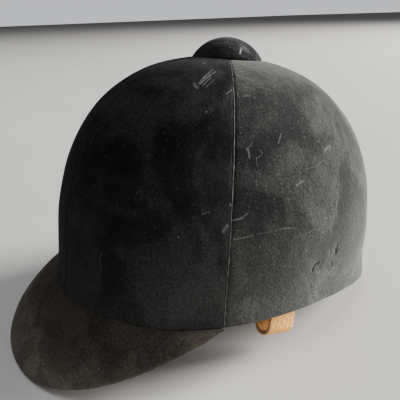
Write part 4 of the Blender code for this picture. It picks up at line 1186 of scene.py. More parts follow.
@dataclass
class VelvetCrown:
    """The four velvet gores, the threads in their seams, and the lint on them."""

    form: HatForm
    palette: Palette
    thickness: float = 0.0012
    valley_depth: float = 0.00060
    valley_width: float = 0.0010
    hem_depth: float = 0.0040
    swell: float = 0.00028
    swell_wave: float = 0.045
    column_pitch: float = 0.0013
    wall_rows: int = 14
    dome_rows: int = 130
    thread_radius: float = 0.00023
    thread_least: float = 0.00006
    lint_radius: float = 0.000065
    fine_lint_radius: float = 0.000032
    fine_lint: int = 12

    def span(self, quarter: Quarter) -> tuple[float, float]:
        """Plan angles where a gore begins and ends."""
        seam, half = self.form.seam(), math.pi / 2
        return {
            Quarter.FRONT_LEFT: (-half, -seam),
            Quarter.REAR_LEFT: (-seam, half),
            Quarter.REAR_RIGHT: (half, math.pi + seam),
            Quarter.FRONT_RIGHT: (math.pi + seam, 3 * half),
        }[quarter]

    def relief(self, points: Array, from_seam: Array, climb: Array) -> Array:
        """Depth of the surface below the even form.

        The seam's valley falls off as a Gaussian of the distance from the seam and is
        puckered along its length. Dents and the crease fall off in the same way.
        """
        pucker = 1 + 0.22 * np.sin(climb * 2 * math.pi * 14)
        depth = self.valley_depth * pucker * np.exp(-((from_seam / self.valley_width) ** 2))
        depth = depth + ripple(points, self.swell_wave, self.swell, 5) * smooth(from_seam, 0.0, 0.01)
        for mark in (CREASE, *DENTS):
            away = path_distance(points, np.array(mark.path) * MM)
            depth = depth + mark.depth * MM * np.exp(-((away / (mark.width * MM)) ** 2))
        return depth

    def gore(self, quarter: Quarter) -> None:
        """One gore: a hem turned under the rim, the wall and the dome up to the crown."""
        first, last = self.span(quarter)
        around = (last - first) * self.form.half_width * 1.1
        angles = (first + (last - first) * eased(int(around / self.column_pitch), 0.55))[:, None]
        wall = np.linspace(0.0, 1.0, self.wall_rows, endpoint=False)
        climb = np.concatenate([wall, np.linspace(1.0, 2.0, self.dome_rows)])[None, :]
        angles, climb = np.broadcast_arrays(angles, climb)
        face = self.form.surface(angles, climb)
        normals = self.form.normals(angles, climb)
        from_seam = np.minimum(
            np.linalg.norm(face - face[:1], axis=-1), np.linalg.norm(face - face[-1:], axis=-1)
        )
        face = face - normals * self.relief(face, from_seam, climb)[..., None]
        hem = self.hem(face[:, 0], normals[:, 0])
        points = self.form.stand(np.concatenate([hem, face], axis=1))
        points[..., 2] = np.maximum(points[..., 2], 0.0)
        item = grid_object("gore_" + quarter.value, points)
        stretch_cloth(item, points)
        thicken(item, self.thickness)
        rear = quarter in (Quarter.REAR_LEFT, Quarter.REAR_RIGHT)
        dress(item, self.palette.velvet_rear if rear else self.palette.velvet_front)
        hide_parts("velvet_" + quarter.value)

    def hem(self, edge: Array, normals: Array) -> Array:
        """Rows of the hem: under the shell's edge, then a quarter circle up to the wall."""
        radius = self.form.hem_radius
        out = unit(normals * np.array([1.0, 1.0, 0.0]))
        centre = edge - out * radius
        down = np.array([0.0, 0.0, -radius])
        rows = [centre + down - out * reach for reach in np.linspace(self.hem_depth, 0.0, 5)[:-1]]
        for turn in np.linspace(math.pi / 2, 0.0, 8)[:-1]:
            rows.append(centre + out * radius * math.cos(turn) + down * math.sin(turn))
        return np.stack(rows, 1)

    def seam_line(self, angle: float, depth: float) -> tuple[Array, Array]:
        """Line of a seam from the rim to the crown, at a depth, and its normals."""
        climb = np.linspace(0.02, 1.995, 420)
        angles = np.full_like(climb, angle)
        normals = self.form.normals(angles, climb)
        return self.form.surface(angles, climb) - normals * depth, normals

    def seam_thread(self, name: str, angle: float, worn: bool) -> None:
        """Worn edge that shows in a seam's valley: a thread of uneven thickness."""
        line, normals = self.seam_line(angle, self.valley_depth * 0.5)
        wander = ripple(line, 0.012, 0.00012, 11)
        side = unit(np.cross(normals, unit(np.gradient(line, axis=0))))
        line = line + side * wander[:, None]
        radius = self.thread_radius * (1 - 0.6 * smooth(line[:, 2], 0.13, 0.15))
        radius = np.maximum(radius + ripple(line, 0.004, 0.00014, 23), self.thread_least)
        sections = tube_sections(self.form.stand(line), radius, np.array([0.3, 0.9, 0.1]), 8)
        item = loft_object(name, sections)
        dress(item, self.palette.seam_thread if worn else self.palette.dark_thread)

    def lint_fibres(self) -> None:
        """Stray fibres caught in the pile: those seen, and a seeded scatter of others."""
        draw = np.random.default_rng(47)
        shapes = [(np.array(path) * MM, self.lint_radius) for path in LINT]
        for _ in range(self.fine_lint):
            angle, climb = draw.uniform(-math.pi, math.pi), draw.uniform(0.15, 1.85)
            steps = draw.normal(0.0, 0.013, size=(4, 2)) + draw.normal(0.0, 0.006, size=2)
            steps = np.cumsum(steps, axis=0)
            climbs = np.clip(climb + steps[:, 1], 0.05, 1.9)
            shapes.append((self.form.surface(angle + steps[:, 0], climbs), self.fine_lint_radius))
        points, faces, start = [], [], 0
        for path, radius in shapes:
            curve = smooth_path(path, 8)
            curve = curve + unit(curve * np.array([1.0, 1.0, 0.7])) * 0.00022
            sections = tube_sections(self.form.stand(curve), radius, np.array([0.5, 0.2, 0.8]), 5)
            count, sides = sections.shape[:2]
            grid = np.swapaxes(sections, 0, 1)
            quads = grid_quads(sides, count, True, False) + start
            ends = np.arange(sides) * count + start
            faces += quads.tolist() + [ends[::-1].tolist(), (ends + count - 1).tolist()]
            points.append(grid.reshape(-1, 3))
            start += sides * count
        item = make_object("lint_fibres", np.vstack(points), faces)
        dress(item, self.palette.lint)

    def build(self) -> None:
        """Make the gores, the seam threads and the lint."""
        for quarter in Quarter:
            self.gore(quarter)
        seam, half = self.form.seam(), math.pi / 2
        lines = {"seam_left": -seam, "seam_right": math.pi + seam, "seam_front": -half, "seam_back": half}
        for name, angle in lines.items():
            self.seam_thread(name, angle, abs(abs(angle) - half) > 0.1)
        self.lint_fibres()


# ---------------------------------------------------------------- peak


@dataclass
class Peak:
    """The peak: velvet over its top and edge, and a stitched cloth beneath."""

    form: HatForm
    palette: Palette
    reach: float = 0.0372
    drop: float = 0.0436
    power: float = 2.157
    sag_power: float = 1.344
    crowning: float = 0.0016
    thickness: float = 0.0050
    turn_under: float = 0.0075
    cover: float = 0.0010
    tuck: float = 0.0026
    heel: float = 0.0046
    cover_end: float = math.radians(0.5)
    underside_end: float = math.radians(12.5)
    underside_thickness: float = 0.0008
    swell: float = 0.00022

    def edges(self, turns: Array) -> tuple[Array, Array]:
        """Inner and outer edge of the top, turning from the left temple to the right.

        The outer edge is a superellipse in plan and sinks as a power of its way forward.
        The inner edge runs along the foot of the wall.
        """
        form, seam = self.form, self.form.seam()
        temple_y = form.rim_places[1]
        forward = np.abs(np.sin(turns)) ** (2 / self.power)
        across = np.sign(np.cos(turns)) * np.abs(np.cos(turns)) ** (2 / self.power)
        temple_x = form.plan(np.array([-seam]))[0][0] * (1 + form.rim_flare)
        length = form.front_length + self.reach + temple_y
        height = form.rim_heights[1] - self.drop * forward**self.sag_power
        outer = np.stack([temple_x * across, temple_y - length * forward, height], -1)
        angles = -seam - (math.pi - 2 * seam) * turns / math.pi
        inner = form.at_height(angles, form.rim(angles))
        return inner, outer

    def frame(self, turns: Array) -> tuple[Array, ...]:
        """Edges, outward and upward directions, width and edge radius along the peak."""
        inner, outer = self.edges(turns)
        out = unit(outer - inner)
        along = unit(np.gradient(outer, axis=0))
        up = unit(np.cross(along, out))
        width = np.linalg.norm(outer - inner, axis=-1)
        radius = np.clip(0.32 * width, 0.0004, self.thickness / 2)
        return inner, outer, out, up, width, radius

    def top_rows(self, parts: tuple[Array, ...], shares: Array, short: Array | float) -> list[Array]:
        """Rows of the top: straight from edge to edge, crowned by 4 s (1 - s) in between."""
        inner, _, out, up, width, _ = parts
        rows = []
        for share in shares:
            crown = self.crowning * 4 * share * (1 - share) * np.minimum(1.0, width / 0.03)
            rows.append(inner + out * ((width - short) * share)[:, None] + up * crown[:, None])
        return rows

    def make_cover(self) -> None:
        """Velvet: tucked under the wall, over the top, round the edge and turned beneath."""
        turns = self.cover_end + (math.pi - 2 * self.cover_end) * eased(190, 0.6)
        parts = self.frame(turns)
        inner, outer, out, up, width, radius = parts
        tuck = np.minimum(self.tuck, 0.5 * width + 0.0004)
        rows = [inner - out * tuck[:, None] - up * 0.0006, inner - out * (0.4 * tuck)[:, None] - up * 0.0003]
        rows += self.top_rows(parts, np.linspace(0.0, 1.0, 34), radius)
        centre = outer - (out + up) * radius[:, None]
        for turn in np.linspace(math.pi / 2, -math.pi / 2, 15)[1:]:
            rows.append(centre + (out * math.cos(turn) + up * math.sin(turn)) * radius[:, None])
        under = np.clip(0.8 * width - radius, 0.0, self.turn_under)
        for share in (0.33, 0.66, 1.0):
            rows.append(centre - up * radius[:, None] - out * (under * share)[:, None])
        points = np.stack(rows, 1)
        rise = ripple(points, 0.05, self.swell, 17) * smooth(width, 0.004, 0.02)[:, None]
        points = self.form.stand(points + up[:, None] * rise[..., None])
        points[..., 2] = np.maximum(points[..., 2], 0.0)
        item = grid_object("peak_velvet", points[:, ::-1])
        stretch_cloth(item, points)
        thicken(item, self.cover * 0.5)
        dress(item, self.palette.velvet_peak)
        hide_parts("peak_cover")

    def make_underside(self) -> None:
        """Cloth beneath the board, with the row of stitches that holds its edge."""
        turns = np.linspace(self.underside_end, math.pi - self.underside_end, 150)
        parts = self.frame(turns)
        inner, outer, out, up, width, _ = parts
        edge = self.thickness / 2 + self.turn_under - 0.0008
        rows = self.top_rows(parts, np.linspace(0.0, 1.0, 26), np.minimum(edge, 0.8 * width))
        heel = inner - unit(inner * np.array([1.0, 1.0, 0.0])) * self.heel
        grid = np.stack([heel] + rows, 1) - up[:, None] * (self.thickness + 0.0002)
        ends = smooth(turns, turns[0], turns[0] + 0.12) * smooth(-turns, -turns[-1], -turns[-1] + 0.12)
        grid = grid + up[:, None] * ((1 - ends) * 0.0012)[:, None, None]
        points = self.form.stand(grid)
        item = grid_object("peak_underside", points)
        stretch_cloth(item, points)
        thicken(item, self.underside_thickness)
        dress(item, self.palette.under_cloth)
        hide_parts("peak_lining")
        line = points[:, -2]
        below = self.form.turn(-up)
        row = stitch_row("peak_stitches", line + below * 0.0001, below, 0.0026, 0.0034, 0.0002)
        dress(row, self.palette.seam_thread)

    def build(self) -> None:
        """Make the cover and the underside."""
        self.make_cover()
        self.make_underside()


# ---------------------------------------------------------------- button


@dataclass
class CrownButton:
    """Velvet-covered button: a spherical cap with a rounded foot, turned under."""

    form: HatForm
    palette: Palette
    radius: float = 0.0250
    height: float = 0.0133
    foot_gap: float = 0.0003
    foot_radius: float = 0.0011
    turn_under: float = 0.0055
    sides: int = 96
    rings: int = 34

    def crown_drop(self, radius: float) -> float:
        """How far the crown has fallen at a radius along the hat's length."""
        form = self.form
        share = radius / form.front_length
        fallen = 1 - (1 - share**form.dome_front) ** (1 / form.dome_front)
        return (form.crown_height - form.wall_top) * fallen

    def outline(self) -> Array:
        """Radius and height from the top down: the cap's arc, its foot and the turn under."""
        crown = self.form.crown_height
        foot = crown - self.crown_drop(self.radius) + self.foot_gap
        rise = crown + self.height - foot
        sphere = (self.radius**2 + rise**2) / (2 * rise)
        spread = math.asin(self.radius / sphere)
        turns = np.linspace(0.03, spread * 0.985, self.rings)
        arc = np.stack([sphere * np.sin(turns), foot + rise - sphere * (1 - np.cos(turns))], -1)
        centre = arc[-1] - self.foot_radius * np.array([math.sin(turns[-1]), math.cos(turns[-1])])
        bends = np.linspace(turns[-1], math.radians(172.0), 9)[1:]
        bend = centre + self.foot_radius * np.stack([np.sin(bends), np.cos(bends)], -1)
        inner = self.radius - self.turn_under
        last = np.array([[inner, crown - self.crown_drop(inner) + self.foot_gap]])
        return np.vstack([arc, bend, last])

    def build(self) -> None:
        """Make the button's velvet, faintly gathered towards its foot."""
        outline = self.outline()
        turns = np.arange(self.sides) * 2 * math.pi / self.sides
        share = np.linspace(0.0, 1.0, len(outline))[:, None]
        gathers = 1 + 0.006 * share**4 * np.cos(turns * 16 + 0.7 * np.sin(3 * turns))
        radius = outline[:, :1] * gathers
        height = np.broadcast_to(outline[:, 1:], radius.shape)
        rings = np.stack([radius * np.cos(turns), radius * np.sin(turns), height], -1)
        sections = self.form.stand(rings[:, ::-1])
        item = loft_object("button_velvet", sections, pole=True)
        dress(item, self.palette.velvet_button)
        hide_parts("button_cover")


# ---------------------------------------------------------------- inside of the crown


@dataclass
class Lining:
    """Quilted crown lining, crown pad, leather sweatband and the pads behind it."""

    form: HatForm
    palette: Palette
    lining_depth: float = 0.0118
    lining_start: float = 0.0205
    band_depth: float = 0.0123
    band_thickness: float = 0.0012
    band_top: float = 0.034
    quilt: float = 0.0013
    quilt_pitch: float = 0.021
    pad_radius: float = 0.028
    pad_thickness: float = 0.0058
    pad_rise: float = 0.0140
    pad_depth: float = 0.0085
    pad_half_rise: float = 0.0043
    pad_half_depth: float = 0.0030
    columns: int = 260

    def crown_lining(self) -> None:
        """Satin quilted in diamonds: each puff is the root of the product of two sines."""
        angles = (np.arange(self.columns) * 2 * math.pi / self.columns)[:, None]
        foot = self.form.rim(angles) + self.lining_start
        first = (foot - self.form.rim(angles) - self.form.hem_radius) / (
            self.form.wall_top - self.form.rim(angles) - self.form.hem_radius
        )
        share = np.linspace(0.0, 1.0, 150)[None, :]
        climb = np.where(first < 1, first + (1.97 - first) * share, 1.0 + 0.97 * share)
        angles, climb = np.broadcast_arrays(angles, climb)
        face, normals = self.form.surface(angles, climb), self.form.normals(angles, climb)
        around = angles * self.form.half_width * 1.1
        up = (climb - 1) * self.form.crown_height * 1.25
        count = round(2 * math.pi * self.form.half_width * 1.1 / self.quilt_pitch / 2) * 2
        pitch = 2 * math.pi * self.form.half_width * 1.1 / count
        one = np.abs(np.sin(math.pi * (around + up) / pitch))
        two = np.abs(np.sin(math.pi * (around - up) / pitch))
        puff = self.quilt * np.sqrt(one * two) * smooth(climb, 1.12, 1.3) * smooth(-climb, -1.93, -1.8)
        points = self.form.stand(face - normals * (self.lining_depth + puff)[..., None])
        item = grid_object("lining_quilted", points[:, ::-1], wrap_columns=True)
        stretch_cloth(item, points)
        wall = item.modifiers.new("wall", "SOLIDIFY")
        wall.thickness = 0.0009
        wall.offset = -1.0
        dress(item, self.palette.satin)
        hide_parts("crown_lining")

    def band(self, name: str, profile: Array, angles: Array, wrap: bool) -> bpy.types.Object:
        """Closed strip: a loop of rises and depths carried along the inside of the rim."""
        columns = [
            self.form.beside_rim(angles, np.full_like(angles, rise), np.full_like(angles, depth))
            for rise, depth in profile
        ]
        return grid_object(name, self.form.stand(np.stack(columns, 1)), wrap_columns=wrap, wrap_rows=True)

    def sweatband(self) -> None:
        """Leather sweatband with a rolled top edge, and its row of stitches at the rim."""
        rise = np.concatenate([np.linspace(0.002, 0.008, 6), np.linspace(0.010, self.band_top, 14)])
        lean = self.band_depth * (0.74 + 0.26 * smooth(rise, 0.002, 0.008))
        sag = 0.0004 * np.sin(rise / self.band_top * math.pi * 3)
        outer = np.stack([rise, lean + sag], -1)
        roll = np.array([[self.band_top + 0.0006, self.band_depth + self.band_thickness / 2]])
        inner = (outer + np.array([0.0, self.band_thickness]))[::-1]
        profile = np.vstack([outer, roll, inner])
        angles = np.arange(self.columns) * 2 * math.pi / self.columns
        item = self.band("sweatband_leather", profile, angles, True)
        flesh = np.zeros((self.columns, len(profile)))
        flesh[:, : len(outer)] = 1.0
        set_values(item, "flesh", flesh)
        set_values(item, "edge", np.zeros(flesh.shape))
        dress(item, self.palette.band)
        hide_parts("sweatband")
        depth = np.full_like(angles, self.band_depth + 0.0007)
        line = self.form.beside_rim(angles, np.full_like(angles, 0.0048), depth)
        inward = self.form.turn(unit(line * np.array([-1.0, -1.0, 0.0])))
        stitches = stitch_row("band_stitches", self.form.stand(line), inward, 0.0028, 0.0040, 0.00022)
        dress(stitches, self.palette.pale_thread)

    def crown_pad(self) -> None:
        """Round pad under the crown: domed, tufted in the middle and quilted in a star."""
        top = self.form.crown_height - self.lining_depth - 0.0010 - 0.0029
        shares = np.concatenate([np.linspace(0.03, 0.9, 22), 1 - np.geomspace(0.09, 0.001, 8)])
        turns = np.arange(96) * 2 * math.pi / 96
        crown = np.sqrt(np.maximum(1 - shares**6, 0.0))[:, None]
        star = 0.16 * np.abs(np.cos(turns * 3))[None, :] ** 0.35 * smooth(shares, 0.1, 0.5)[:, None]
        tuft = 0.55 * np.exp(-((shares / 0.12) ** 2))[:, None]
        lower = self.pad_thickness * crown * np.maximum(0.84 + star - tuft, 0.1)
        radius = shares[:, None] * self.pad_radius * np.ones(96)
        below = np.stack([radius * np.cos(turns), radius * np.sin(turns), top - 0.0004 - lower], -1)
        back = np.linspace(1.0, 0.1, 8)[1:, None] * self.pad_radius * np.ones(96)
        above = np.stack([back * np.cos(turns), back * np.sin(turns), np.full(back.shape, top)], -1)
        sections = self.form.stand(np.concatenate([below, above]))
        item = loft_object("crown_cushion", sections, pole=True)
        dress(item, self.palette.satin)
        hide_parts("crown_pad")

    def rim_pad(self, name: str, node: str, first: float, last: float) -> None:
        """Soft strip behind the sweatband: a flattened oval section with tapered ends."""
        angles = np.linspace(first, last, 60)
        ends = np.sin(np.linspace(0.0, math.pi, 60)) ** 0.25
        turns = np.linspace(0.0, 2 * math.pi, 17)[:-1]
        columns = []
        for turn in turns:
            up = self.pad_half_rise * np.sign(math.cos(turn)) * abs(math.cos(turn)) ** 0.6 * ends
            deep = self.pad_half_depth * np.sign(math.sin(turn)) * abs(math.sin(turn)) ** 0.7 * ends
            columns.append(self.form.beside_rim(angles, self.pad_rise + up, self.pad_depth + deep))
        sections = self.form.stand(np.stack(columns, 1))
        item = loft_object(name, sections)
        dress(item, self.palette.foam)
        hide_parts(node)

    def build(self) -> None:
        """Make everything inside the crown."""
        self.crown_lining()
        self.sweatband()
        self.crown_pad()
        self.rim_pad("forehead_cushion", "forehead_pad", math.radians(-128.0), math.radians(-52.0))
        self.rim_pad("nape_cushion", "nape_pad", math.radians(52.0), math.radians(128.0))


# ---------------------------------------------------------------- chin strap


@dataclass(frozen=True)
class FoldFrame:
    """Frame at a strap's fold: X outwards, Y along the fold, Z up the strap."""

    origin: Array
    axes: Array

    @classmethod
    def of(cls, joint: str) -> "FoldFrame":
        """Frame of a strap's joint: Y runs against the joint's axis, and X is level."""
        found = next(item for item in frame["joints"] if item["name"] == joint)
        along = -unit(np.array(found["axis"], float))
        out = unit(np.cross(along, [0.0, 0.0, 1.0]))
        return cls(np.array(found["pos_m"], float), np.stack([out, along, np.cross(out, along)]))

    def place(self, points: Array) -> Array:
        """Local points in the frame's place."""
        return self.origin + points @ self.axes


@dataclass
class ChinStrap:
    """Leather straps with their folds, the buckle, its prong and the keeper."""

    form: HatForm
    palette: Palette
    width: float = 0.020
    thickness: float = 0.0022
    corner: float = 0.0007
    fold_radius: float = 0.0069
    tab_length: float = 0.0290
    tab_lean: float = math.radians(6)
    lean: float = math.radians(9)
    billet_length: float = 0.125
    bend_radius: float = 0.300
    holes: int = 5
    hole_radius: float = 0.0020
    hole_pitch: float = 0.015
    first_hole: float = 0.024
    billet_tip: float = 0.0125
    buckle_tip: float = 0.0030
    slot_drop: float = 0.002
    slot_half_width: float = 0.0014
    slot_half_length: float = 0.0070
    cutter_reach: float = 0.006
    stitch_side: float = 0.0065
    frame_corner: float = 0.004
    buckle_length: float = 0.078
    wire: float = 0.0012
    prong: float = 0.0008
    buckle_reach: float = 0.016
    gap: float = 0.0003
    keeper_width: float = 0.008
    keeper_thickness: float = 0.0014
    keeper_place: float = 0.040
    keeper_play: float = 0.0004
    keeper_bend: float = 0.0012
    keeper_edge: float = 0.0005

    def tab(self) -> Array:
        """Path of the riveted tab and the fold, across and up in the fold's frame."""
        rise = np.linspace(self.tab_length, 0.0008, 24)
        outer = 2 * self.fold_radius
        down = np.stack([outer - np.sin(self.tab_lean) * rise, np.cos(self.tab_lean) * rise], -1)
        turns = np.linspace(0.0, -(math.pi - self.lean), 34)
        radius = self.fold_radius
        return np.vstack([down, np.stack([radius * (1 + np.cos(turns)), radius * np.sin(turns)], -1)])

    def leg(self, length: float, inward: float) -> Array:
        """Place beside the right strap, a length up it and a distance inwards."""
        cos, sin = math.cos(self.lean), math.sin(self.lean)
        return np.array([-sin * length - cos * inward, cos * length - sin * inward])

    def billet(self) -> Array:
        """Path of the left strap: an arc of a wide radius that leans in with the crown."""
        lengths = np.linspace(0.003, self.billet_length, 90)
        lean = self.lean + lengths / self.bend_radius
        across = np.cos(lean) - math.cos(self.lean)
        return self.bend_radius * np.stack([across, np.sin(lean) - math.sin(self.lean)], -1)

    def buckle_end(self) -> Array:
        """Path of the right strap: up, round the buckle's bar and back down itself."""
        wrap = self.wire + self.gap + self.thickness / 2
        up = [self.leg(way, 0.0) for way in np.linspace(0.003, self.buckle_length, 46)]
        turns = np.linspace(-math.pi / 2, math.pi / 2, 20)[1:]
        loop = [self.leg(self.buckle_length + wrap * math.cos(t), wrap * (1 + math.sin(t))) for t in turns]
        close = self.thickness + 2 * self.gap
        ways = np.linspace(0.002, 0.018, 14)
        pinch = wrap * 2 + (close - wrap * 2) * smooth(ways, 0.0, 0.008)
        back = [self.leg(self.buckle_length - way, depth) for way, depth in zip(ways, pinch)]
        return np.array(up + loop + back)

    def strap(self, name: str, fold: FoldFrame, leg: Array, tip: float) -> bpy.types.Object:
        """One strap from the top of its tab to its far end, as a closed rounded strip.

        Args:
            name: the piece's name.
            fold: the frame at its fold.
            leg: path beyond the fold, across and up in that frame.
            tip: length over which its end is rounded.

        Returns:
            The strap. Its normal is the path's direction crossed with its width.
        """
        path = np.vstack([self.tab(), leg])
        path = np.stack([path[:, 0], np.zeros(len(path)), path[:, 1]], -1)
        along = unit(np.gradient(path, axis=0))
        across = np.array([0.0, 1.0, 0.0])
        normal = np.cross(along, across)
        way = np.concatenate([[0.0], np.cumsum(np.linalg.norm(np.diff(path, axis=0), axis=-1))])
        left = np.clip((way[-1] - way) / tip, 0.0, 1.0)
        first = np.clip(way / 0.004, 0.0, 1.0)
        widths = self.width * np.sqrt(1 - (1 - left) ** 2 * 0.88) * np.sqrt(1 - (1 - first) ** 2 * 0.3)
        widths = widths + ripple(path, 0.03, 0.00012, 3)
        centres = path + normal * ripple(path, 0.025, 0.00015, 7)[:, None]
        sections = rounded_sections(centres, across, normal, widths, self.thickness, self.corner)
        item = loft_object(name, fold.place(sections))
        count = sections.shape[1]
        place = np.arange(count)
        flesh = np.broadcast_to((place >= 10) & (place < 20), (len(path), count))
        half = np.maximum(widths / 2, 1e-4)[:, None]
        across_share = np.abs((sections - centres[:, None])[..., 1]) / half
        set_values(item, "flesh", np.swapaxes(flesh, 0, 1).astype(float))
        set_values(item, "edge", np.swapaxes(across_share, 0, 1))
        return item

    def punch(self, item: bpy.types.Object, cutters: list[bpy.types.Object]) -> None:
        """Cut holes through a piece, keep the result as its mesh and drop the cutters."""
        for cutter in cutters:
            hole = item.modifiers.new(cutter.name, "BOOLEAN")
            hole.operation = "DIFFERENCE"
            hole.solver = "EXACT"
            hole.object = cutter
        graph = bpy.context.evaluated_depsgraph_get()
        mesh = bpy.data.meshes.new_from_object(item.evaluated_get(graph))
        old = item.data
        item.modifiers.clear()
        item.data = mesh
        bpy.data.meshes.remove(old)
        for cutter in cutters:
            bpy.data.objects.remove(cutter)

    def cutter(self, name: str, fold: FoldFrame, centre: Array, half: Array, sides: int) -> bpy.types.Object:
        """Prism across a strap: an ellipse or a box of given half sizes about a point."""
        step = 2 * math.pi / sides
        turns = np.arange(sides) * step + (step / 2 if sides == 4 else 0.0)
        grow = math.sqrt(2) if sides == 4 else 1.0
        ring = np.stack([0 * turns, np.cos(turns) * half[1] * grow, np.sin(turns) * half[2] * grow], -1)
        ends = np.array([[-half[0], 0.0, 0.0], [half[0], 0.0, 0.0]])
        return loft_object(name, fold.place(centre + ring[None] + ends[:, None]))

    def left_strap(self) -> None:
        """Left strap with its row of holes."""
        fold = FoldFrame.of("left_strap_fold")
        path = self.billet()
        item = self.strap("strap_with_holes", fold, path, self.billet_tip)
        way = np.linspace(0.003, self.billet_length, len(path))
        cutters = []
        for number in range(self.holes):
            length = self.billet_length - self.first_hole - number * self.hole_pitch
            x, z = (np.interp(length, way, path[:, axis]) for axis in (0, 1))
            half = np.array([self.cutter_reach, self.hole_radius, self.hole_radius])
            cutters.append(self.cutter("hole_%d" % number, fold, np.array([x, 0.0, z]), half, 24))
        self.punch(item, cutters)
        self.join_fold(item, fold, ("left_strap_tab", "left_strap"))

    def right_strap(self) -> None:
        """Right strap, wrapped round the buckle's bar, with a slot for the prong."""
        fold = FoldFrame.of("right_strap_fold")
        item = self.strap("strap_with_buckle", fold, self.buckle_end(), self.buckle_tip)
        wrap = self.wire + self.gap + self.thickness / 2
        x, z = self.leg(self.buckle_length - self.slot_drop, wrap)
        half = np.array([self.cutter_reach, self.slot_half_width, self.slot_half_length])
        slot = self.cutter("slot", fold, np.array([x, 0.0, z]), half, 4)
        self.punch(item, [slot])
        self.join_fold(item, fold, ("right_strap_tab", "right_strap"))
        rows = []
        for side in (-self.stitch_side, self.stitch_side):
            ways = np.linspace(0.0085, 0.0165, 12)
            line = [self.leg(self.buckle_length - w, self.thickness * 1.5 + 2 * self.gap) for w in ways]
            rows.append(np.array([[x, side, z] for x, z in line]))
        inward = fold.axes[0] * -math.cos(self.lean)
        for name, line in zip(("strap_stitches_front", "strap_stitches_rear"), rows):
            facing = np.broadcast_to(inward, line.shape)
            stitches = stitch_row(name, fold.place(line), facing, 0.0020, 0.0027, 0.00025)
            dress(stitches, self.palette.pale_thread, "right_strap")

    def join_fold(
        self, item: bpy.types.Object, fold: FoldFrame, nodes: tuple[str, str]
    ) -> None:
        """Give a strap its material, bake its transform into its mesh and hide the nodes it replaces; the
        two ends of its bend are worked out but not used.
        """
        dress(item, self.palette.strap, "")
        start = fold.place(np.array([self.fold_radius, 0.0, 0.0]))
        end = fold.place(np.array([0.0002, 0.0, 0.0]))
        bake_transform(item)
        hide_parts(*nodes)

    def buckle(self) -> None:
        """Wire frame with rounded corners, its bar and the prong that turns on it."""
        joint = FoldFrame.of("buckle_pivot")
        lean = Matrix.Rotation(-self.lean, 3, "Y")
        axes = np.array(lean.transposed()) @ joint.axes
        local = FoldFrame(joint.origin, axes)
        side = self.width / 2 + self.gap + 0.0001 + self.wire
        corner, reach = self.frame_corner, self.buckle_reach
        turns = np.linspace(math.pi / 2, 0.0, 14)
        inset, foot = side - corner, reach - corner
        high = [(0.0, inset + corner * math.sin(t), foot + corner * math.cos(t)) for t in turns]
        legs = [(0.0, side, z) for z in np.linspace(-2 * self.wire, reach - corner - 0.001, 8)]
        half = legs + high
        loop = np.array(half + [(x, -y, z) for x, y, z in reversed(half)])
        out = np.array([1.0, 0.0, 0.0])
        item = loft_object("buckle_wire", local.place(tube_sections(loop, self.wire, out)))
        dress(item, self.palette.brass, "buckle")
        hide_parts("buckle_frame")
        half_bar = side - self.wire * 0.6
        bar = np.stack([np.zeros(9), np.linspace(-half_bar, half_bar, 9), np.zeros(9)], -1)
        item = loft_object("buckle_crossbar", local.place(tube_sections(bar, self.wire, out)))
        dress(item, self.palette.brass, "buckle")
        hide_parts("buckle_bar")
        eye = self.wire + self.gap + self.prong
        turns = np.linspace(math.radians(200), math.radians(-90), 34)
        path = [(eye * math.sin(t), 0.0, eye * math.cos(t)) for t in turns]
        tip = reach + 0.003
        path += [(-eye, 0.0, z) for z in np.linspace(0.0012, tip, 24)]
        line = np.array(path)
        taper = np.interp(line[:, 2], [tip * 0.6, tip], [self.prong, self.prong * 0.62])
        sections = tube_sections(line, taper, np.array([0.0, 1.0, 0.0]), 12)
        item = loft_object("prong_wire", local.place(sections))
        dress(item, self.palette.brass, "prong")
        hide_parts("buckle_prong")

    def keeper(self) -> None:
        """Leather loop round the doubled strap: a rounded strip carried round an oblong."""
        fold = FoldFrame.of("right_strap_fold")
        centre = self.leg(self.buckle_length - self.keeper_place, 0.0)
        outer = self.thickness / 2 + self.keeper_play + self.keeper_thickness / 2
        inner = -(self.thickness * 1.5 + 2 * self.keeper_play + self.keeper_thickness / 2)
        half = self.width / 2 + self.keeper_play + self.keeper_thickness / 2
        corner = self.keeper_bend
        marks = [(outer, half, 0), (inner, half, 1), (inner, -half, 2), (outer, -half, 3)]
        outline = []
        for x, y, quarter in marks:
            turns = np.linspace(0.0, math.pi / 2, 7) + quarter * math.pi / 2
            inx, iny = x - math.copysign(corner, x), y - math.copysign(corner, y)
            outline += [(inx + corner * math.cos(t), iny + corner * math.sin(t)) for t in turns]
        ring = np.array([(x, y, 0.0) for x, y in outline])
        along = unit(np.roll(ring, -1, 0) - np.roll(ring, 1, 0))
        up = np.array([0.0, 0.0, 1.0])
        out = np.cross(along, up)
        widths = np.full(len(ring), self.keeper_width)
        sections = rounded_sections(ring, up, out, widths, self.keeper_thickness, self.keeper_edge)
        lean = np.array(Matrix.Rotation(-self.lean, 3, "Y"))
        local = sections @ lean.T + np.array([centre[0], 0.0, centre[1]])
        grid = np.swapaxes(fold.place(local), 0, 1)
        item = grid_object("keeper_loop", grid, wrap_columns=True, wrap_rows=True)
        set_values(item, "flesh", np.zeros(grid.shape[:2]))
        set_values(item, "edge", np.zeros(grid.shape[:2]))
        dress(item, self.palette.strap, "keeper")
        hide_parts("strap_keeper")

    def build(self) -> None:
        """Make both straps, the buckle and the keeper."""
        self.left_strap()
        self.right_strap()
        self.buckle()
        self.keeper()


# ---------------------------------------------------------------- inner pieces of the frame


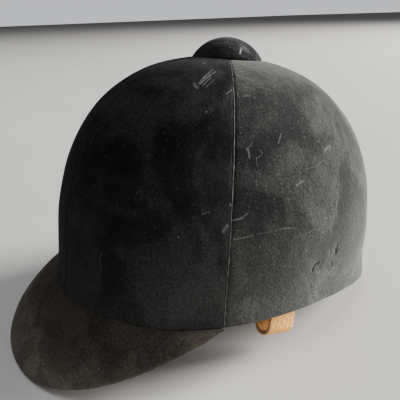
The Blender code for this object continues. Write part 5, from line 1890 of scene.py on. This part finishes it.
@dataclass
class InnerPieces:
    """Pieces of the frame that keep their own shape and get a better finish."""

    palette: Palette

    def build(self) -> None:
        """Give each kept node its material."""
        finishes = {
            "shell": self.palette.resin,
            "cork_liner": self.palette.cork,
            "peak_board": self.palette.board,
            "button_former": self.palette.wood,
        }
        brass = ["button_stud", "stud_washer"]
        brass += [side + part for side in ("left_", "right_") for part in ("rivet", "rivet_washer")]
        finishes.update({node: self.palette.brass for node in brass})
        for node, material in finishes.items():
            item = frame["nodes"][node]
            item.data.materials.clear()
            item.data.materials.append(material)
            LOG.info("%s keeps its shape", node)


# ---------------------------------------------------------------- studio


LAMPS: tuple[tuple[str, Point, float, float, Colour], ...] = (
    ("key", (2.1, 6.5, 2.3), 3.2, 2300.0, (1.0, 0.985, 0.955)),
    ("side", (7.0, 1.9, 0.9), 3.0, 190.0, (1.0, 0.99, 0.97)),
    ("top", (0.2, -0.9, 7.2), 4.0, 230.0, (0.96, 0.98, 1.0)),
)


@dataclass
class Studio:
    """Pale floor, soft light from the right and behind, and the camera."""

    eye: Point = (0.28353, -0.18422, 0.21147)
    azimuth: float = math.radians(56.06)
    elevation: float = math.radians(21.16)
    roll: float = math.radians(-2.02)
    lens: float = 42.855
    floor_size: float = 60.0

    def camera(self) -> None:
        """Camera that looks down at the left front of the hat."""
        data = bpy.data.cameras.new("camera")
        data.lens = self.lens
        data.sensor_width = 36.0
        data.clip_start = 0.01
        item = bpy.data.objects.new("camera", data)
        bpy.context.scene.collection.objects.link(item)
        level = math.cos(self.elevation)
        side, ahead = math.sin(self.azimuth) * level, -math.cos(self.azimuth) * level
        turn = Vector((side, ahead, math.sin(self.elevation))).to_track_quat("Z", "Y").to_matrix()
        turn = turn @ Matrix.Rotation(self.roll, 3, "Z")
        item.matrix_world = Matrix.Translation(self.eye) @ turn.to_4x4()
        bpy.context.scene.camera = item

    def area_light(self, name: str, place: Point, size: float, power: float, colour: Colour) -> None:
        """Square lamp that faces the crown."""
        data = bpy.data.lights.new(name, "AREA")
        data.size = size
        data.energy = power
        data.color = colour
        item = bpy.data.objects.new(name, data)
        item.location = place
        item.rotation_mode = "QUATERNION"
        item.rotation_quaternion = (Vector(place) - Vector((0.0, 0.0, 0.09))).to_track_quat("Z", "Y")
        bpy.context.scene.collection.objects.link(item)

    def floor(self) -> None:
        """Large pale floor with the faintest mottling."""
        half = self.floor_size / 2
        shares = np.linspace(-half, half, 9)
        x, y = np.meshgrid(shares, shares, indexing="ij")
        item = grid_object("floor", np.stack([x, y, np.full_like(x, -0.0001)], -1))
        material, graph, shader = new_material("floor_paper")
        tone = graph.noise(graph.place(), 3.0, 2.0, 0.5)
        graph.feed(shader.inputs["Base Color"], graph.mix(tone, (0.50, 0.49, 0.475), (0.53, 0.52, 0.505)))
        graph.feed(shader.inputs["Roughness"], graph.remap(tone, 0.3, 0.7, 0.85, 0.95))
        item.data.materials.append(material)

    def world(self) -> None:
        """Even pale surroundings, brighter to the camera than as light."""
        world = bpy.data.worlds.new("world")
        bpy.context.scene.world = world
        world.use_nodes = True
        graph = Graph(world.node_tree)
        sky = world.node_tree.nodes["Background"]
        sky.inputs["Color"].default_value = (0.94, 0.96, 1.0, 1.0)
        path = graph.node("ShaderNodeLightPath")
        graph.feed(sky.inputs["Strength"], graph.remap(path.outputs["Is Camera Ray"], 0.0, 1.0, 0.12, 0.75))

    def build(self) -> None:
        """Set the stage."""
        self.camera()
        self.floor()
        self.world()
        for name, place, size, power, colour in LAMPS:
            self.area_light(name, place, size, power, colour)


# ---------------------------------------------------------------- the whole hat


def main() -> None:
    """Build every piece of the hat, and the studio round it."""
    logging.basicConfig(level=logging.INFO, format="%(name)s: %(message)s")
    form = HatForm()
    palette = Palette(form)
    VelvetCrown(form, palette).build()
    Peak(form, palette).build()
    CrownButton(form, palette).build()
    Lining(form, palette).build()
    ChinStrap(form, palette).build()
    InnerPieces(palette).build()
    Studio().build()


if __name__ == "__main__":
    main()
